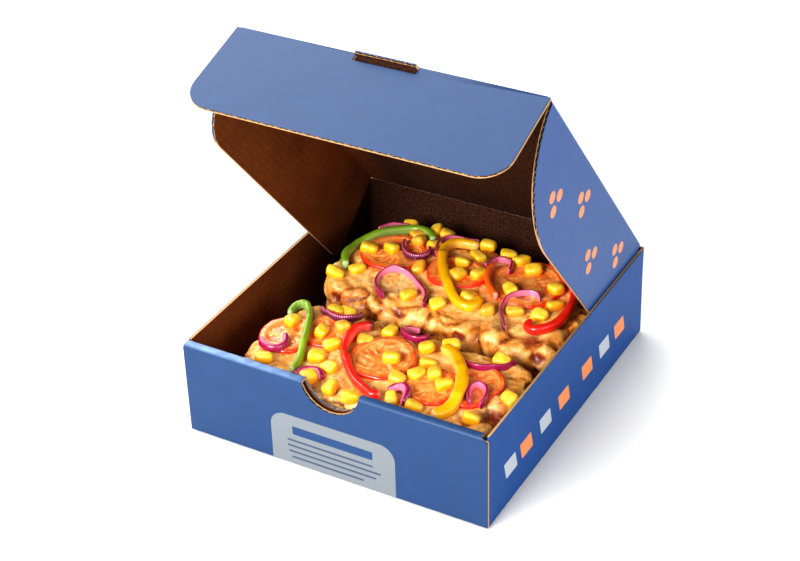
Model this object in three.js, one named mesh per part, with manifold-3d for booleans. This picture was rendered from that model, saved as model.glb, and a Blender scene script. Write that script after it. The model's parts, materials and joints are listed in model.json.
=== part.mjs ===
// Two thick slices of vegetable pizza in an open corrugated takeaway box.
//
// Units are millimetres. +X runs to the right along the front wall, +Y towards
// the back wall and +Z up. The origin is the centre of the tray's underside.
// The box is three folded pieces of board: the tray, the lid with its two side
// ears, and the flap that closes down over the front wall. Each slice is a
// dough base under a cheese layer, with tomato slices and strips of pepper and
// onion on top. Sweetcorn kernels are fused to what they lie on.

import * as THREE from "three";
import { mergeVertices } from "three/addons/utils/BufferGeometryUtils.js";
import Module from "manifold-3d";

const wasm = await Module();
wasm.setup();

// ---------------------------------------------------------------- dimensions

const BOARD = 1.5; // thickness of the corrugated board
const CLEARANCE = 0.4; // room left for boards that slide past each other
const CREASE_GAP = 0.3; // from a rounded crease to the board that folds about it
const FOOD_GAP = 0.35; // air between two pieces of food that touch

const TRAY_WIDTH = 157;
const TRAY_DEPTH = 172;
const WALL_TOP = 49.7;

const FRONT_WALL_DEPTH = 5; // the front wall is rolled over into a hollow one
const ROLL_HALF_WIDTH = 74.7; // stops short of the side walls for the ears
const CORNER_FLAP_LENGTH = 30;
const CORNER_FLAP_TOP = 15; // low enough for the ears to pass over
const NOTCH_RADIUS = 15; // thumb notch in the front wall
const NOTCH_CENTRE_ABOVE_WALL = 2;

// The lid turns about the middle of its board, right above the back wall.
const LID_OPEN_DEG = 50.3;
const LID_CREASE = {
  y: TRAY_DEPTH / 2 - BOARD / 2,
  z: WALL_TOP + CREASE_GAP + BOARD / 2,
};
const LID_LENGTH = 172.5; // from the back crease to the front crease
const LID_HALF_WIDTH = 76.6; // inside the side walls

// The ears, measured from the back crease. The right one has a long round front
// end, and the left one is bowed out, so its front end is squarer.
const EAR_DEPTH = 48.7;
const EAR_BACK = 2;
const EAR_BACK_RADIUS = 8;
const RIGHT_EAR_FRONT = 169.3;
const RIGHT_EAR_CURVE_START = 113.3;
const LEFT_EAR_FRONT = 169.2;
const LEFT_EAR_RADIUS = 17;

const FLAP_OPEN_DEG = 22; // outward from square to the lid
const FLAP_DEPTH = 49.8;
const FLAP_CORNER_RADIUS = 13.5;
const FLAP_FLARE = 0.5; // each side leans out by this much
const TAB_HALF_WIDTH = 15; // pull tab cut out of the flap at its crease
const TAB_LENGTH = 3.5;

const SLICE_FLOOR = BOARD + 0.3; // underside of the dough
const DOUGH_TOP = 27;
const CHEESE_BOTTOM = 27.3;
const EDGE_DROP = 5; // how far the cheese rolls down at its edge
const EDGE_ROLL = 9; // and over what width
const OUTLINE_POINTS = 48;

const TOMATO_RISE = 2.2; // a tomato slice above the cheese round it
const TOMATO_DISH = 0.5; // its middle below its rim
const TOMATO_SIDES = 18;
const STRIP_STEP = 4.2; // spacing of the sections along a pepper or onion strip
const STRIP_SINK = 0.8; // how far a strip beds into what it lies on
const KERNEL = { length: 4.6, width: 3.8, height: 3 }; // half sizes
const KERNEL_RISE = 1.2; // centre of a kernel above what it lies in

// Each slice's edge seen from above, at its widest, as a closed smooth curve.
const SLICES = {
  front: {
    top: 39.6,
    spine: { from: -28, to: 42, y: -46 },
    outline: [
      [-60, -76],
      [-30, -79.3],
      [10, -79.5],
      [50, -79.3],
      [70, -77],
      [74, -60],
      [74, -35],
      [71, -19],
      [60, -13],
      [35, -12.5],
      [5, -12.5],
      [-25, -12],
      [-46, -14.5],
      [-56, -20],
      [-58.5, -36],
      [-61, -56],
    ],
  },
  back: {
    top: 41,
    spine: { from: -28, to: 40, y: 30 },
    outline: [
      [-60, 5],
      [-50, -4],
      [-30, -7],
      [0, -8],
      [35, -8.3],
      [62, -8],
      [72, -3],
      [74, 12],
      [74, 35],
      [72, 56],
      [61, 66],
      [35, 68.5],
      [5, 68.5],
      [-25, 68],
      [-46, 65],
      [-56, 54],
      [-61, 38],
      [-62, 20],
    ],
  },
};

// Tomato slices in the order they are laid, so a later one overlaps an earlier.
const TOMATOES = [
  { name: "tomato_front_1", slice: "front", x: -46.5, y: -46.5, rx: 13, ry: 15 },
  { name: "tomato_front_2", slice: "front", x: -30, y: -36, rx: 13, ry: 13.5 },
  { name: "tomato_front_3", slice: "front", x: 3, y: -43.5, rx: 16, ry: 17 },
  { name: "tomato_front_4", slice: "front", x: 33.5, y: -53, rx: 12.5, ry: 14 },
  { name: "tomato_front_5", slice: "front", x: 50.5, y: -43, rx: 12.5, ry: 16.5 },
  { name: "tomato_back_1", slice: "back", x: -35, y: 36.5, rx: 17, ry: 16.5 },
  { name: "tomato_back_2", slice: "back", x: 1, y: 34.5, rx: 16, ry: 13.5 },
  { name: "tomato_back_3", slice: "back", x: 36, y: 40.5, rx: 19.5, ry: 20 },
];

// Strips of pepper and onion: the line along the middle, seen from above.
const STRIPS = [
  {
    name: "pepper_green_front",
    slice: "front",
    width: 3.4,
    height: 4.2,
    path: [[-54.5, -32], [-56, -26.5], [-55, -21.5], [-50.5, -23], [-43.5, -31.5], [-39.5, -40], [-35.5, -49], [-33, -56], [-30, -64.5], [-29, -72]],
  },
  {
    name: "pepper_red_front",
    slice: "front",
    width: 4.2,
    height: 4,
    path: [[-13, -23], [-16.5, -27], [-18, -34], [-17.5, -41], [-15.5, -47], [-9, -55.5], [-2.5, -61.5], [5.5, -67], [12, -70.5], [16.5, -69]],
  },
  {
    name: "pepper_yellow_front",
    slice: "front",
    width: 6.2,
    height: 4,
    path: [[24, -24], [30, -26], [37, -33], [43, -41.5], [47, -50.5], [48.5, -60], [47, -67], [44, -72]],
  },
  {
    name: "onion_pink_front_left",
    slice: "front",
    width: 4.2,
    height: 4,
    path: [[-54.5, -57.5], [-50, -61], [-45, -61.5], [-42, -58], [-43.5, -53], [-46, -49.5]],
  },
  {
    name: "onion_purple_front_back",
    slice: "front",
    width: 2.8,
    height: 4.2,
    path: [[-43.5, -20.5], [-39.5, -24], [-34, -26.5], [-29, -26.5], [-25.5, -24.5], [-23.5, -20.5], [-23.5, -16]],
  },
  {
    name: "onion_pink_front_rim",
    slice: "front",
    width: 4.6,
    height: 3.6,
    path: [[-27, -72.5], [-25.5, -67.5], [-21.5, -65.3], [-17.5, -66], [-14.5, -70]],
  },
  {
    name: "onion_ring_front",
    slice: "front",
    width: 2.6,
    height: 4,
    path: [[6.5, -13.5], [1.5, -13], [-1, -16.5], [1, -20.3], [5.5, -23], [10, -23], [13, -20], [12.5, -16.5]],
  },
  {
    name: "onion_purple_front_rim",
    slice: "front",
    width: 4.8,
    height: 4.6,
    path: [[17, -63.5], [19.5, -60.5], [24, -60.7], [28, -65], [28.5, -71]],
  },
  {
    name: "onion_crescent_front",
    slice: "front",
    width: 2.4,
    height: 3.8,
    path: [[36, -29], [41, -31], [46, -31.8], [51, -29.5], [55.5, -25], [57.5, -21], [58, -16.5]],
  },
  {
    name: "onion_ring_front_right",
    slice: "front",
    width: 2.6,
    height: 4.2,
    path: [[55.5, -58], [52.5, -53.5], [50.8, -48.5], [51.5, -44], [55, -43.5], [58, -46.5], [60, -51.5], [59.5, -56.5]],
  },
  {
    name: "pepper_green_back",
    slice: "back",
    width: 4.4,
    height: 4,
    path: [[-50.5, 14.5], [-55, 21.5], [-56.5, 29.5], [-55.5, 38], [-51.5, 45.5], [-47, 52.5], [-41.5, 58.5], [-36.5, 61], [-31, 61], [-26, 58], [-22.5, 54]],
  },
  {
    name: "onion_pink_back_edge",
    slice: "back",
    width: 2.6,
    height: 6,
    path: [[-53.5, 52], [-51, 58.5], [-47, 62.8], [-41.5, 65]],
  },
  {
    name: "onion_purple_back_left",
    slice: "back",
    width: 3,
    height: 4,
    path: [[-34.5, 46.5], [-32.5, 41], [-28.5, 36.5], [-23.5, 35.2], [-19.5, 37.5], [-18.5, 42], [-20.5, 46]],
  },
  {
    name: "onion_pink_back_arc",
    slice: "back",
    width: 2.4,
    height: 4.6,
    path: [[-20.5, -1], [-25.5, 2.5], [-30, 8.5], [-31.5, 14.5], [-29.5, 19.5], [-25, 22], [-18.5, 21.5], [-12, 17.8], [-5.5, 12.5], [-1.8, 7], [-0.3, 1]],
  },
  {
    name: "onion_pink_back_middle",
    slice: "back",
    width: 2.6,
    height: 5.4,
    path: [[-15.5, 43], [-18.5, 52], [-18.5, 59.5], [-15.5, 63.5], [-9.5, 65.3], [-2, 65.6]],
  },
  {
    name: "pepper_yellow_back",
    slice: "back",
    width: 5,
    height: 4,
    path: [[0, 60], [-7, 60.3], [-12.5, 57.5], [-14, 50], [-10.5, 41], [-6, 33], [0, 24.5], [6, 17.5], [12, 12.5], [18, 10.8], [22.3, 13.5], [20.5, 19]],
  },
  {
    name: "onion_curl_back",
    slice: "back",
    width: 2.8,
    height: 4,
    path: [[12, 43.5], [11.5, 50.5], [14, 56], [19, 55.5], [23.5, 49.5], [24.8, 43.5]],
  },
  {
    name: "pepper_orange_back",
    slice: "back",
    width: 3.2,
    height: 3.6,
    path: [[16.3, 45.5], [16, 39.5], [18.8, 32.5], [24, 25.5], [29.5, 20.8]],
  },
  {
    name: "onion_purple_back_right",
    slice: "back",
    width: 2.2,
    height: 4,
    path: [[43.5, 1.5], [38.8, 8.5], [34.8, 15.5], [34, 22], [36.8, 28.5], [41.5, 31.8], [46, 32], [48.8, 28.5]],
  },
  {
    name: "pepper_red_back",
    slice: "back",
    width: 4.4,
    height: 4,
    path: [[38, 63], [45, 60], [52.5, 52.5], [58.5, 45], [62.5, 36.5], [64, 27.5], [63.8, 18], [61.5, 10.5], [57, 6.8], [52.3, 8], [52, 12.5]],
  },
];

// Sweetcorn kernels: place and turn in degrees.
const KERNELS = [
  { slice: "front", x: -46, y: -68.5, turn: 20 },
  { slice: "front", x: -49, y: -37.5, turn: 70 },
  { slice: "front", x: -32, y: -39.5, turn: 110 },
  { slice: "front", x: -37, y: -18, turn: 0 },
  { slice: "front", x: -25, y: -31.5, turn: 150 },
  { slice: "front", x: -24.5, y: -56.5, turn: 20 },
  { slice: "front", x: -22, y: -46.5, turn: 40 },
  { slice: "front", x: -15.5, y: -61, turn: 160 },
  { slice: "front", x: -7.5, y: -73, turn: 95 },
  { slice: "front", x: 4.5, y: -75.5, turn: 30 },
  { slice: "front", x: -11.5, y: -34, turn: 10 },
  { slice: "front", x: -4.5, y: -22.5, turn: 80 },
  { slice: "front", x: 7.5, y: -43, turn: 20 },
  { slice: "front", x: 17, y: -54.5, turn: 0 },
  { slice: "front", x: 24, y: -48.5, turn: 60 },
  { slice: "front", x: 23, y: -36.5, turn: 30 },
  { slice: "front", x: 31, y: -45, turn: 120 },
  { slice: "front", x: 39, y: -50.5, turn: 50 },
  { slice: "front", x: 17, y: -26.5, turn: 50 },
  { slice: "front", x: 52, y: -18.5, turn: 10 },
  { slice: "front", x: 68.5, y: -44.5, turn: 160 },
  { slice: "front", x: 60, y: -65, turn: 20 },
  { slice: "back", x: -52.5, y: 7.5, turn: 20 },
  { slice: "back", x: -45, y: 16.5, turn: 50 },
  { slice: "back", x: -47.5, y: 32.5, turn: 10 },
  { slice: "back", x: -37.5, y: 37.5, turn: 160 },
  { slice: "back", x: -28.5, y: 50.5, turn: 90 },
  { slice: "back", x: -20, y: 64.5, turn: 20 },
  { slice: "back", x: -17.5, y: 29.5, turn: 100 },
  { slice: "back", x: -11, y: 7, turn: 50 },
  { slice: "back", x: 5.5, y: 5.5, turn: 60 },
  { slice: "back", x: 0.5, y: 42, turn: 0 },
  { slice: "back", x: 3, y: 31, turn: 70 },
  { slice: "back", x: 3.5, y: 52, turn: 160 },
  { slice: "back", x: 12.5, y: 36, turn: 60 },
  { slice: "back", x: 3.5, y: 64, turn: 0 },
  { slice: "back", x: 16, y: 62, turn: 20 },
  { slice: "back", x: 29, y: 13, turn: 120 },
  { slice: "back", x: 26, y: 56, turn: 60 },
  { slice: "back", x: 34.5, y: 51.5, turn: 10 },
  { slice: "back", x: 51, y: 41, turn: 140 },
  { slice: "back", x: 55.5, y: 31, turn: 40 },
  { slice: "back", x: 41.5, y: 16.5, turn: 30 },
  { slice: "back", x: 53, y: 19.5, turn: 10 },
];

// ----------------------------------------------------------------- materials

const finish = (color, roughness) =>
  new THREE.MeshStandardMaterial({ color, roughness, metalness: 0 });

const MATERIALS = {
  board: finish(0x4a6db0, 0.6),
  dough: finish(0xc98a4b, 0.8),
  cheese: finish(0xe8b878, 0.5),
  tomato: finish(0xeb5f2d, 0.35),
  pepper_green: finish(0x5f8c1e, 0.3),
  pepper_red: finish(0xe12319, 0.3),
  pepper_yellow: finish(0xfcb914, 0.3),
  pepper_orange: finish(0xee7a2a, 0.3),
  onion: finish(0xc83c78, 0.35),
};

// ------------------------------------------------------------- solid helpers

// A closed geometry as a manifold-3d solid, with its shared vertices merged.
function solidOf(geometry) {
  const bare = geometry.clone();
  bare.deleteAttribute("normal");
  bare.deleteAttribute("uv");
  const merged = mergeVertices(bare, 1e-4);
  return new wasm.Manifold(
    new wasm.Mesh({
      numProp: 3,
      vertProperties: merged.attributes.position.array,
      triVerts: new Uint32Array(merged.index.array),
    }),
  );
}

function geometryOf(solid) {
  const mesh = solid.getMesh();
  const geometry = new THREE.BufferGeometry();
  geometry.setAttribute("position", new THREE.BufferAttribute(mesh.vertProperties, 3));
  geometry.setIndex(new THREE.BufferAttribute(mesh.triVerts, 1));
  geometry.computeVertexNormals();
  return geometry;
}

const join = (solids) => solids.reduce((whole, next) => whole.add(next));

// A solid cut by everything in its way, without the scraps that leaves loose.
function cutClear(solid, obstacles) {
  const cut = obstacles.reduce((rest, obstacle) => rest.subtract(obstacle), solid);
  const bodies = cut.decompose();
  return bodies.reduce((most, body) => (body.volume() > most.volume() ? body : most));
}

// A rectangular piece of board between two values on each axis.
function block([x0, x1], [y0, y1], [z0, z1]) {
  const geometry = new THREE.BoxGeometry(x1 - x0, y1 - y0, z1 - z0);
  geometry.translate((x0 + x1) / 2, (y0 + y1) / 2, (z0 + z1) / 2);
  return solidOf(geometry);
}

// A flat outline as thick as the board, with its middle plane at the origin.
// along, up and through are where the outline's two axes and its thickness go.
function boardFrom(outline, along, up, through) {
  const geometry = new THREE.ExtrudeGeometry(outline, {
    depth: BOARD,
    bevelEnabled: false,
    curveSegments: 14,
  });
  geometry.translate(0, 0, -BOARD / 2);
  geometry.applyMatrix4(new THREE.Matrix4().makeBasis(along, up, through));
  return solidOf(geometry);
}

// A closed solid skinned over rings of points, with a fan over each end. The
// rings run the right-handed way round the line from the first to the last.
function skin(rings) {
  const sides = rings[0].length;
  const points = rings.flat();
  const centres = [rings[0], rings.at(-1)].map((ring) =>
    ring.reduce((sum, p) => sum.add(p), new THREE.Vector3()).divideScalar(sides),
  );
  const firstCentre = points.push(centres[0]) - 1;
  const lastCentre = points.push(centres[1]) - 1;
  const faces = [];
  const lastRing = (rings.length - 1) * sides;
  for (let side = 0; side < sides; side++) {
    const next = (side + 1) % sides;
    for (let ring = 0; ring < lastRing; ring += sides) {
      faces.push(ring + side, ring + next, ring + sides + next);
      faces.push(ring + side, ring + sides + next, ring + sides + side);
    }
    faces.push(firstCentre, next, side);
    faces.push(lastCentre, lastRing + side, lastRing + next);
  }
  const geometry = new THREE.BufferGeometry().setFromPoints(points);
  geometry.setIndex(faces);
  return solidOf(geometry);
}

function meshOf(name, solid, material) {
  const mesh = new THREE.Mesh(geometryOf(solid), material);
  mesh.name = name;
  return mesh;
}

// ------------------------------------------------------------------- the box

// One folded board: floor, back and side walls, the hollow front wall rolled
// over to the inside, and the corner flaps held in its hollow.
function makeTray() {
  const right = TRAY_WIDTH / 2;
  const back = TRAY_DEPTH / 2;
  const front = -back;
  const rollBack = front + FRONT_WALL_DEPTH;
  const hollowMiddle = front + FRONT_WALL_DEPTH / 2;
  const rollBottom = BOARD + 0.3;
  const wall = [0, WALL_TOP];
  const pieces = [
    block([-right, right], [front, back], [0, BOARD]),
    block([-right, right], [back - BOARD, back], wall),
    block([-right, -right + BOARD], [front, back], wall),
    block([right - BOARD, right], [front, back], wall),
    block([-right, right], [front, front + BOARD], wall),
    block([-ROLL_HALF_WIDTH, ROLL_HALF_WIDTH], [front, rollBack], [WALL_TOP - BOARD, WALL_TOP]),
    block([-ROLL_HALF_WIDTH, ROLL_HALF_WIDTH], [rollBack - BOARD, rollBack], [rollBottom, WALL_TOP]),
  ];
  for (const side of [-1, 1]) {
    const ends = [side * (right - BOARD / 2), side * (right - BOARD - CORNER_FLAP_LENGTH)];
    ends.sort((a, b) => a - b);
    const across = [hollowMiddle - BOARD / 2, hollowMiddle + BOARD / 2];
    pieces.push(block(ends, across, [rollBottom, CORNER_FLAP_TOP]));
  }
  const notch = new THREE.CylinderGeometry(NOTCH_RADIUS, NOTCH_RADIUS, 4 * FRONT_WALL_DEPTH, 48);
  notch.translate(0, front, WALL_TOP + NOTCH_CENTRE_ABOVE_WALL);
  return join(pieces).subtract(solidOf(notch));
}

// The lid shut, with the back crease as its origin: the panel reaches along -Y
// and the ears hang down along -Z inside the side walls. The panel's back and
// front ends are rounded about the creases.
function makeLid() {
  const panel = block(
    [-LID_HALF_WIDTH, LID_HALF_WIDTH],
    [-LID_LENGTH, 0],
    [-BOARD / 2, BOARD / 2],
  );
  const creases = [0, -LID_LENGTH].map((y) => {
    const roll = new THREE.CylinderGeometry(BOARD / 2, BOARD / 2, 2 * LID_HALF_WIDTH, 12);
    roll.rotateZ(Math.PI / 2);
    roll.translate(0, y, 0);
    return solidOf(roll);
  });
  const tab = block(
    [-TAB_HALF_WIDTH, TAB_HALF_WIDTH],
    [-LID_LENGTH - TAB_LENGTH, -LID_LENGTH],
    [-BOARD / 2, BOARD / 2],
  );
  const middleOfEar = LID_HALF_WIDTH - BOARD / 2;
  const rightEar = earFrom(roundFrontEnd).translate([middleOfEar, 0, 0]);
  const leftEar = earFrom(squareFrontEnd).translate([-middleOfEar, 0, 0]);
  return join([panel, ...creases, tab, rightEar, leftEar]);
}

// An ear on the plane x = 0, with the front end that drawFrontEnd gives it.
function earFrom(drawFrontEnd) {
  const outline = new THREE.Shape();
  outline.moveTo(-EAR_BACK, 0);
  drawFrontEnd(outline);
  outline.lineTo(-EAR_BACK - EAR_BACK_RADIUS, -EAR_DEPTH);
  outline.absarc(
    -EAR_BACK - EAR_BACK_RADIUS,
    -EAR_DEPTH + EAR_BACK_RADIUS,
    EAR_BACK_RADIUS,
    1.5 * Math.PI,
    2 * Math.PI,
    false,
  );
  return boardFrom(
    outline,
    new THREE.Vector3(0, 1, 0),
    new THREE.Vector3(0, 0, 1),
    new THREE.Vector3(1, 0, 0),
  );
}

// A quarter ellipse down to the lower edge.
function roundFrontEnd(outline) {
  const reach = RIGHT_EAR_FRONT - RIGHT_EAR_CURVE_START;
  outline.lineTo(-RIGHT_EAR_FRONT, 0);
  outline.absellipse(-RIGHT_EAR_CURVE_START, 0, reach, EAR_DEPTH, Math.PI, 1.5 * Math.PI, false);
}

// An arc about the back crease, then a round corner.
function squareFrontEnd(outline) {
  const cornerReach = LEFT_EAR_FRONT - LEFT_EAR_RADIUS;
  const cornerDown = EAR_DEPTH - LEFT_EAR_RADIUS;
  const turn = Math.asin(cornerDown / cornerReach);
  const cornerAlong = cornerReach * Math.cos(turn);
  outline.absarc(0, 0, LEFT_EAR_FRONT, Math.PI, Math.PI + turn, false);
  outline.absarc(-cornerAlong, -cornerDown, LEFT_EAR_RADIUS, Math.PI + turn, 1.5 * Math.PI, false);
}

// The flap shut, with the front crease as its origin: it hangs down along -Z
// in front of the front wall. The recess at its top is what the tab leaves.
function makeFlap() {
  const outline = new THREE.Shape();
  const top = -BOARD / 2 - CREASE_GAP;
  const bottom = LID_HALF_WIDTH + FLAP_FLARE;
  const recess = TAB_HALF_WIDTH + CLEARANCE;
  const recessTop = -TAB_LENGTH - CLEARANCE;
  const cornerX = bottom - FLAP_CORNER_RADIUS;
  const cornerZ = -FLAP_DEPTH + FLAP_CORNER_RADIUS;
  outline.moveTo(recess, top);
  outline.lineTo(recess, recessTop);
  outline.lineTo(-recess, recessTop);
  outline.lineTo(-recess, top);
  outline.lineTo(-LID_HALF_WIDTH, top);
  outline.lineTo(-bottom, cornerZ);
  outline.absarc(-cornerX, cornerZ, FLAP_CORNER_RADIUS, Math.PI, 1.5 * Math.PI, false);
  outline.lineTo(cornerX, -FLAP_DEPTH);
  outline.absarc(cornerX, cornerZ, FLAP_CORNER_RADIUS, 1.5 * Math.PI, 2 * Math.PI, false);
  outline.lineTo(LID_HALF_WIDTH, top);
  return boardFrom(
    outline,
    new THREE.Vector3(1, 0, 0),
    new THREE.Vector3(0, 0, 1),
    new THREE.Vector3(0, -1, 0),
  );
}

// ---------------------------------------------------------------- the slices

// Gentle rise and fall of baked cheese, within about 1 mm.
function lumps(x, y) {
  const broad = Math.sin(0.21 * x + 0.9 * Math.sin(0.13 * y));
  const cross = Math.sin(0.26 * y + 1.1 * Math.sin(0.17 * x) + 1.7);
  const fine = Math.sin(0.47 * x - 0.33 * y + 0.6);
  return 0.5 * broad + 0.4 * cross + 0.2 * fine;
}

// Crags of the browned edge, within about 1 mm in or out.
function crags(x, y, z) {
  const round = Math.sin(0.31 * x + 0.37 * y + 0.4 * z);
  const fine = Math.sin(0.53 * x - 0.45 * y + 0.7 * z + 2);
  return 0.55 * round + 0.4 * fine;
}

for (const slice of Object.values(SLICES)) {
  const curve = new THREE.CatmullRomCurve3(
    slice.outline.map(([x, y]) => new THREE.Vector3(x, y, 0)),
    true,
  );
  slice.edge = curve.getSpacedPoints(OUTLINE_POINTS).slice(0, OUTLINE_POINTS);
}

// Height of the cheese above the table at a place on the slice.
function cheeseHeight(slice, x, y) {
  const toEdge = Math.min(...slice.edge.map((p) => Math.hypot(p.x - x, p.y - y)));
  const roll = Math.max(0, 1 - toEdge / EDGE_ROLL);
  return slice.top + lumps(x, y) - EDGE_DROP * roll * roll;
}

// The slice's edge drawn in towards its spine: scale 1 is the edge itself.
function outlineRing(slice, scale, heightAt, craggy) {
  return slice.edge.map((p) => {
    const spineX = THREE.MathUtils.clamp(p.x, slice.spine.from, slice.spine.to);
    const out = new THREE.Vector2(p.x - spineX, p.y - slice.spine.y);
    const z = heightAt(p.x, p.y);
    const reach = scale * out.length() - (craggy ? 0.8 + crags(p.x, p.y, z) : 0);
    out.setLength(reach);
    const x = spineX + out.x;
    const y = slice.spine.y + out.y;
    return new THREE.Vector3(x, y, heightAt(x, y));
  });
}

// The dough bulges a little above its foot and stays inside the cheese.
function makeDough(slice) {
  const levels = [
    [0.9, SLICE_FLOOR],
    [0.94, SLICE_FLOOR + 4],
    [0.955, (SLICE_FLOOR + DOUGH_TOP) / 2],
    [0.95, DOUGH_TOP - 4],
    [0.93, DOUGH_TOP],
  ];
  return skin(
    levels.map(([scale, z], level) =>
      outlineRing(slice, scale, () => z, level > 0 && level < levels.length - 1),
    ),
  );
}

// The cheese runs through the whole slice and overhangs the dough.
function makeCheese(slice) {
  const sides = [
    [0.93, CHEESE_BOTTOM],
    [0.985, CHEESE_BOTTOM + 2.5],
    [1, CHEESE_BOTTOM + 6],
  ];
  const tops = [0.985, 0.94, 0.85, 0.68, 0.48, 0.26];
  return skin([
    ...sides.map(([scale, z], level) => outlineRing(slice, scale, () => z, level > 0)),
    ...tops.map((scale) =>
      outlineRing(slice, scale, (x, y) => cheeseHeight(slice, x, y), false),
    ),
  ]);
}

// -------------------------------------------------------------- the toppings

// The level of a tomato slice's rim, just proud of the cheese that it lies in.
function tomatoTop(tomato) {
  const slice = SLICES[tomato.slice];
  const samples = [0, 60, 120, 180, 240, 300].map((degrees) => {
    const angle = THREE.MathUtils.degToRad(degrees);
    const x = tomato.x + 0.6 * tomato.rx * Math.cos(angle);
    const y = tomato.y + 0.6 * tomato.ry * Math.sin(angle);
    return cheeseHeight(slice, x, y);
  });
  return samples.reduce((sum, z) => sum + z, 0) / samples.length + TOMATO_RISE;
}

// A round of tomato with a soft rim and a slightly sunk middle. grow makes the
// same round larger all over, to cut clear room for it.
function makeTomato(tomato, grow = 0) {
  const top = tomatoTop(tomato) + grow;
  const ring = (scale, z) =>
    Array.from({ length: TOMATO_SIDES }, (_, side) => {
      const angle = (2 * Math.PI * side) / TOMATO_SIDES;
      const uneven = 1 + 0.035 * Math.sin(3 * angle + tomato.x) + 0.02 * Math.sin(5 * angle);
      return new THREE.Vector3(
        tomato.x + (scale * tomato.rx * uneven + grow) * Math.cos(angle),
        tomato.y + (scale * tomato.ry * uneven + grow) * Math.sin(angle),
        z,
      );
    });
  return skin([
    ring(0.97, top - 5),
    ring(1, top - 1.4),
    ring(0.94, top - 0.2),
    ring(0.82, top),
    ring(0.55, top - TOMATO_DISH),
  ]);
}

const insideTomato = (tomato, x, y, margin) =>
  Math.hypot((x - tomato.x) / (tomato.rx + margin), (y - tomato.y) / (tomato.ry + margin)) < 1;

// The height that a strip rests on at one place: the cheese or a tomato on it.
function restHeight(sliceName, x, y) {
  const under = TOMATOES.filter((t) => t.slice === sliceName && insideTomato(t, x, y, 1));
  return Math.max(cheeseHeight(SLICES[sliceName], x, y), ...under.map(tomatoTop));
}

// The points along a strip's underside, evenly spaced and draped smoothly.
function stripLine(strip) {
  const curve = new THREE.CatmullRomCurve3(
    strip.path.map(([x, y]) => new THREE.Vector3(x, y, 0)),
  );
  const steps = Math.round(curve.getLength() / STRIP_STEP);
  const line = curve.getSpacedPoints(steps);
  const rests = line.map((p) => restHeight(strip.slice, p.x, p.y));
  line.forEach((p, i) => {
    const near = rests.slice(Math.max(0, i - 1), i + 2);
    const mean = near.reduce((sum, z) => sum + z, 0) / near.length;
    p.z = Math.max(mean, rests[i]);
  });
  return line;
}

// A strip of pepper or onion: a soft-edged section drawn along its line, and
// thinner at both ends. It is sunk a little, for what is below to be cut away.
function makeStrip(strip, grow = 0) {
  const line = stripLine(strip);
  const section = [
    [0.44, 0],
    [0.5, 0.5],
    [0, 1],
    [-0.5, 0.5],
    [-0.44, 0],
  ];
  const rings = line.map((p, i) => {
    const before = line[Math.max(0, i - 1)];
    const after = line[Math.min(line.length - 1, i + 1)];
    const along = new THREE.Vector2(after.x - before.x, after.y - before.y).normalize();
    const atEnd = i === 0 || i === line.length - 1;
    const width = strip.width * (atEnd ? 0.6 : 1) + 2 * grow;
    const height = (strip.height + STRIP_SINK) * (atEnd ? 0.8 : 1) + grow;
    return section.map(([across, up]) => {
      const side = across * width;
      return new THREE.Vector3(
        p.x - side * along.y,
        p.y + side * along.x,
        p.z - STRIP_SINK + up * height,
      );
    });
  });
  return skin(rings);
}

// A kernel: a rounded wedge, a little uneven by its turn.
function makeKernel(kernel, rest) {
  const geometry = new THREE.SphereGeometry(1, 6, 4);
  const plump = 0.92 + 0.1 * Math.sin(kernel.turn);
  geometry.rotateX(Math.PI / 2);
  geometry.scale(KERNEL.length * plump, KERNEL.width, KERNEL.height);
  geometry.rotateZ(THREE.MathUtils.degToRad(kernel.turn));
  geometry.translate(kernel.x, kernel.y, rest + KERNEL_RISE);
  return solidOf(geometry);
}

// A kernel stays only where it is clear of every strip and of a tomato's rim.
function kernelRoom(kernel) {
  const reach = KERNEL.length + FOOD_GAP;
  const clearOfStrips = STRIPS.every((strip) =>
    stripLine(strip).every(
      (p) => Math.hypot(p.x - kernel.x, p.y - kernel.y) > reach + strip.width / 2,
    ),
  );
  const onTomato = TOMATOES.filter((t) => insideTomato(t, kernel.x, kernel.y, -reach));
  const nearTomato = TOMATOES.filter((t) => insideTomato(t, kernel.x, kernel.y, reach));
  return clearOfStrips && onTomato.length === nearTomato.length && onTomato.length < 2;
}

// ------------------------------------------------------------ putting it up

// Lays the food piece by piece. Each piece is cut clear of what lies under it.
function makeFood() {
  const food = new THREE.Group();
  const kernels = KERNELS.filter(kernelRoom);
  const withKernels = (solid, ownKernels, heightAt) =>
    join([solid, ...ownKernels.map((k) => makeKernel(k, heightAt(k)))]);

  const underneath = [];
  for (const [name, slice] of Object.entries(SLICES)) {
    const bare = kernels.filter(
      (k) => k.slice === name && !TOMATOES.some((t) => insideTomato(t, k.x, k.y, 0)),
    );
    const cheese = withKernels(makeCheese(slice), bare, (k) => cheeseHeight(slice, k.x, k.y));
    food.add(meshOf("dough_" + name, makeDough(slice), MATERIALS.dough));
    food.add(meshOf("cheese_" + name, cheese, MATERIALS.cheese));
    underneath.push(cheese.add(cheese.translate([0, 0, FOOD_GAP])));
  }
  for (const tomato of TOMATOES) {
    const own = kernels.filter((k) => insideTomato(tomato, k.x, k.y, 0));
    const middle = tomatoTop(tomato) - TOMATO_DISH;
    const whole = withKernels(makeTomato(tomato), own, () => middle);
    food.add(meshOf(tomato.name, cutClear(whole, underneath), MATERIALS.tomato));
    underneath.push(makeTomato(tomato, FOOD_GAP));
  }
  for (const strip of STRIPS) {
    const kind = strip.name.split("_").slice(0, 2).join("_");
    const material = MATERIALS[kind] ?? MATERIALS.onion;
    food.add(meshOf(strip.name, cutClear(makeStrip(strip), underneath), material));
    underneath.push(makeStrip(strip, FOOD_GAP));
  }
  return food;
}

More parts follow.
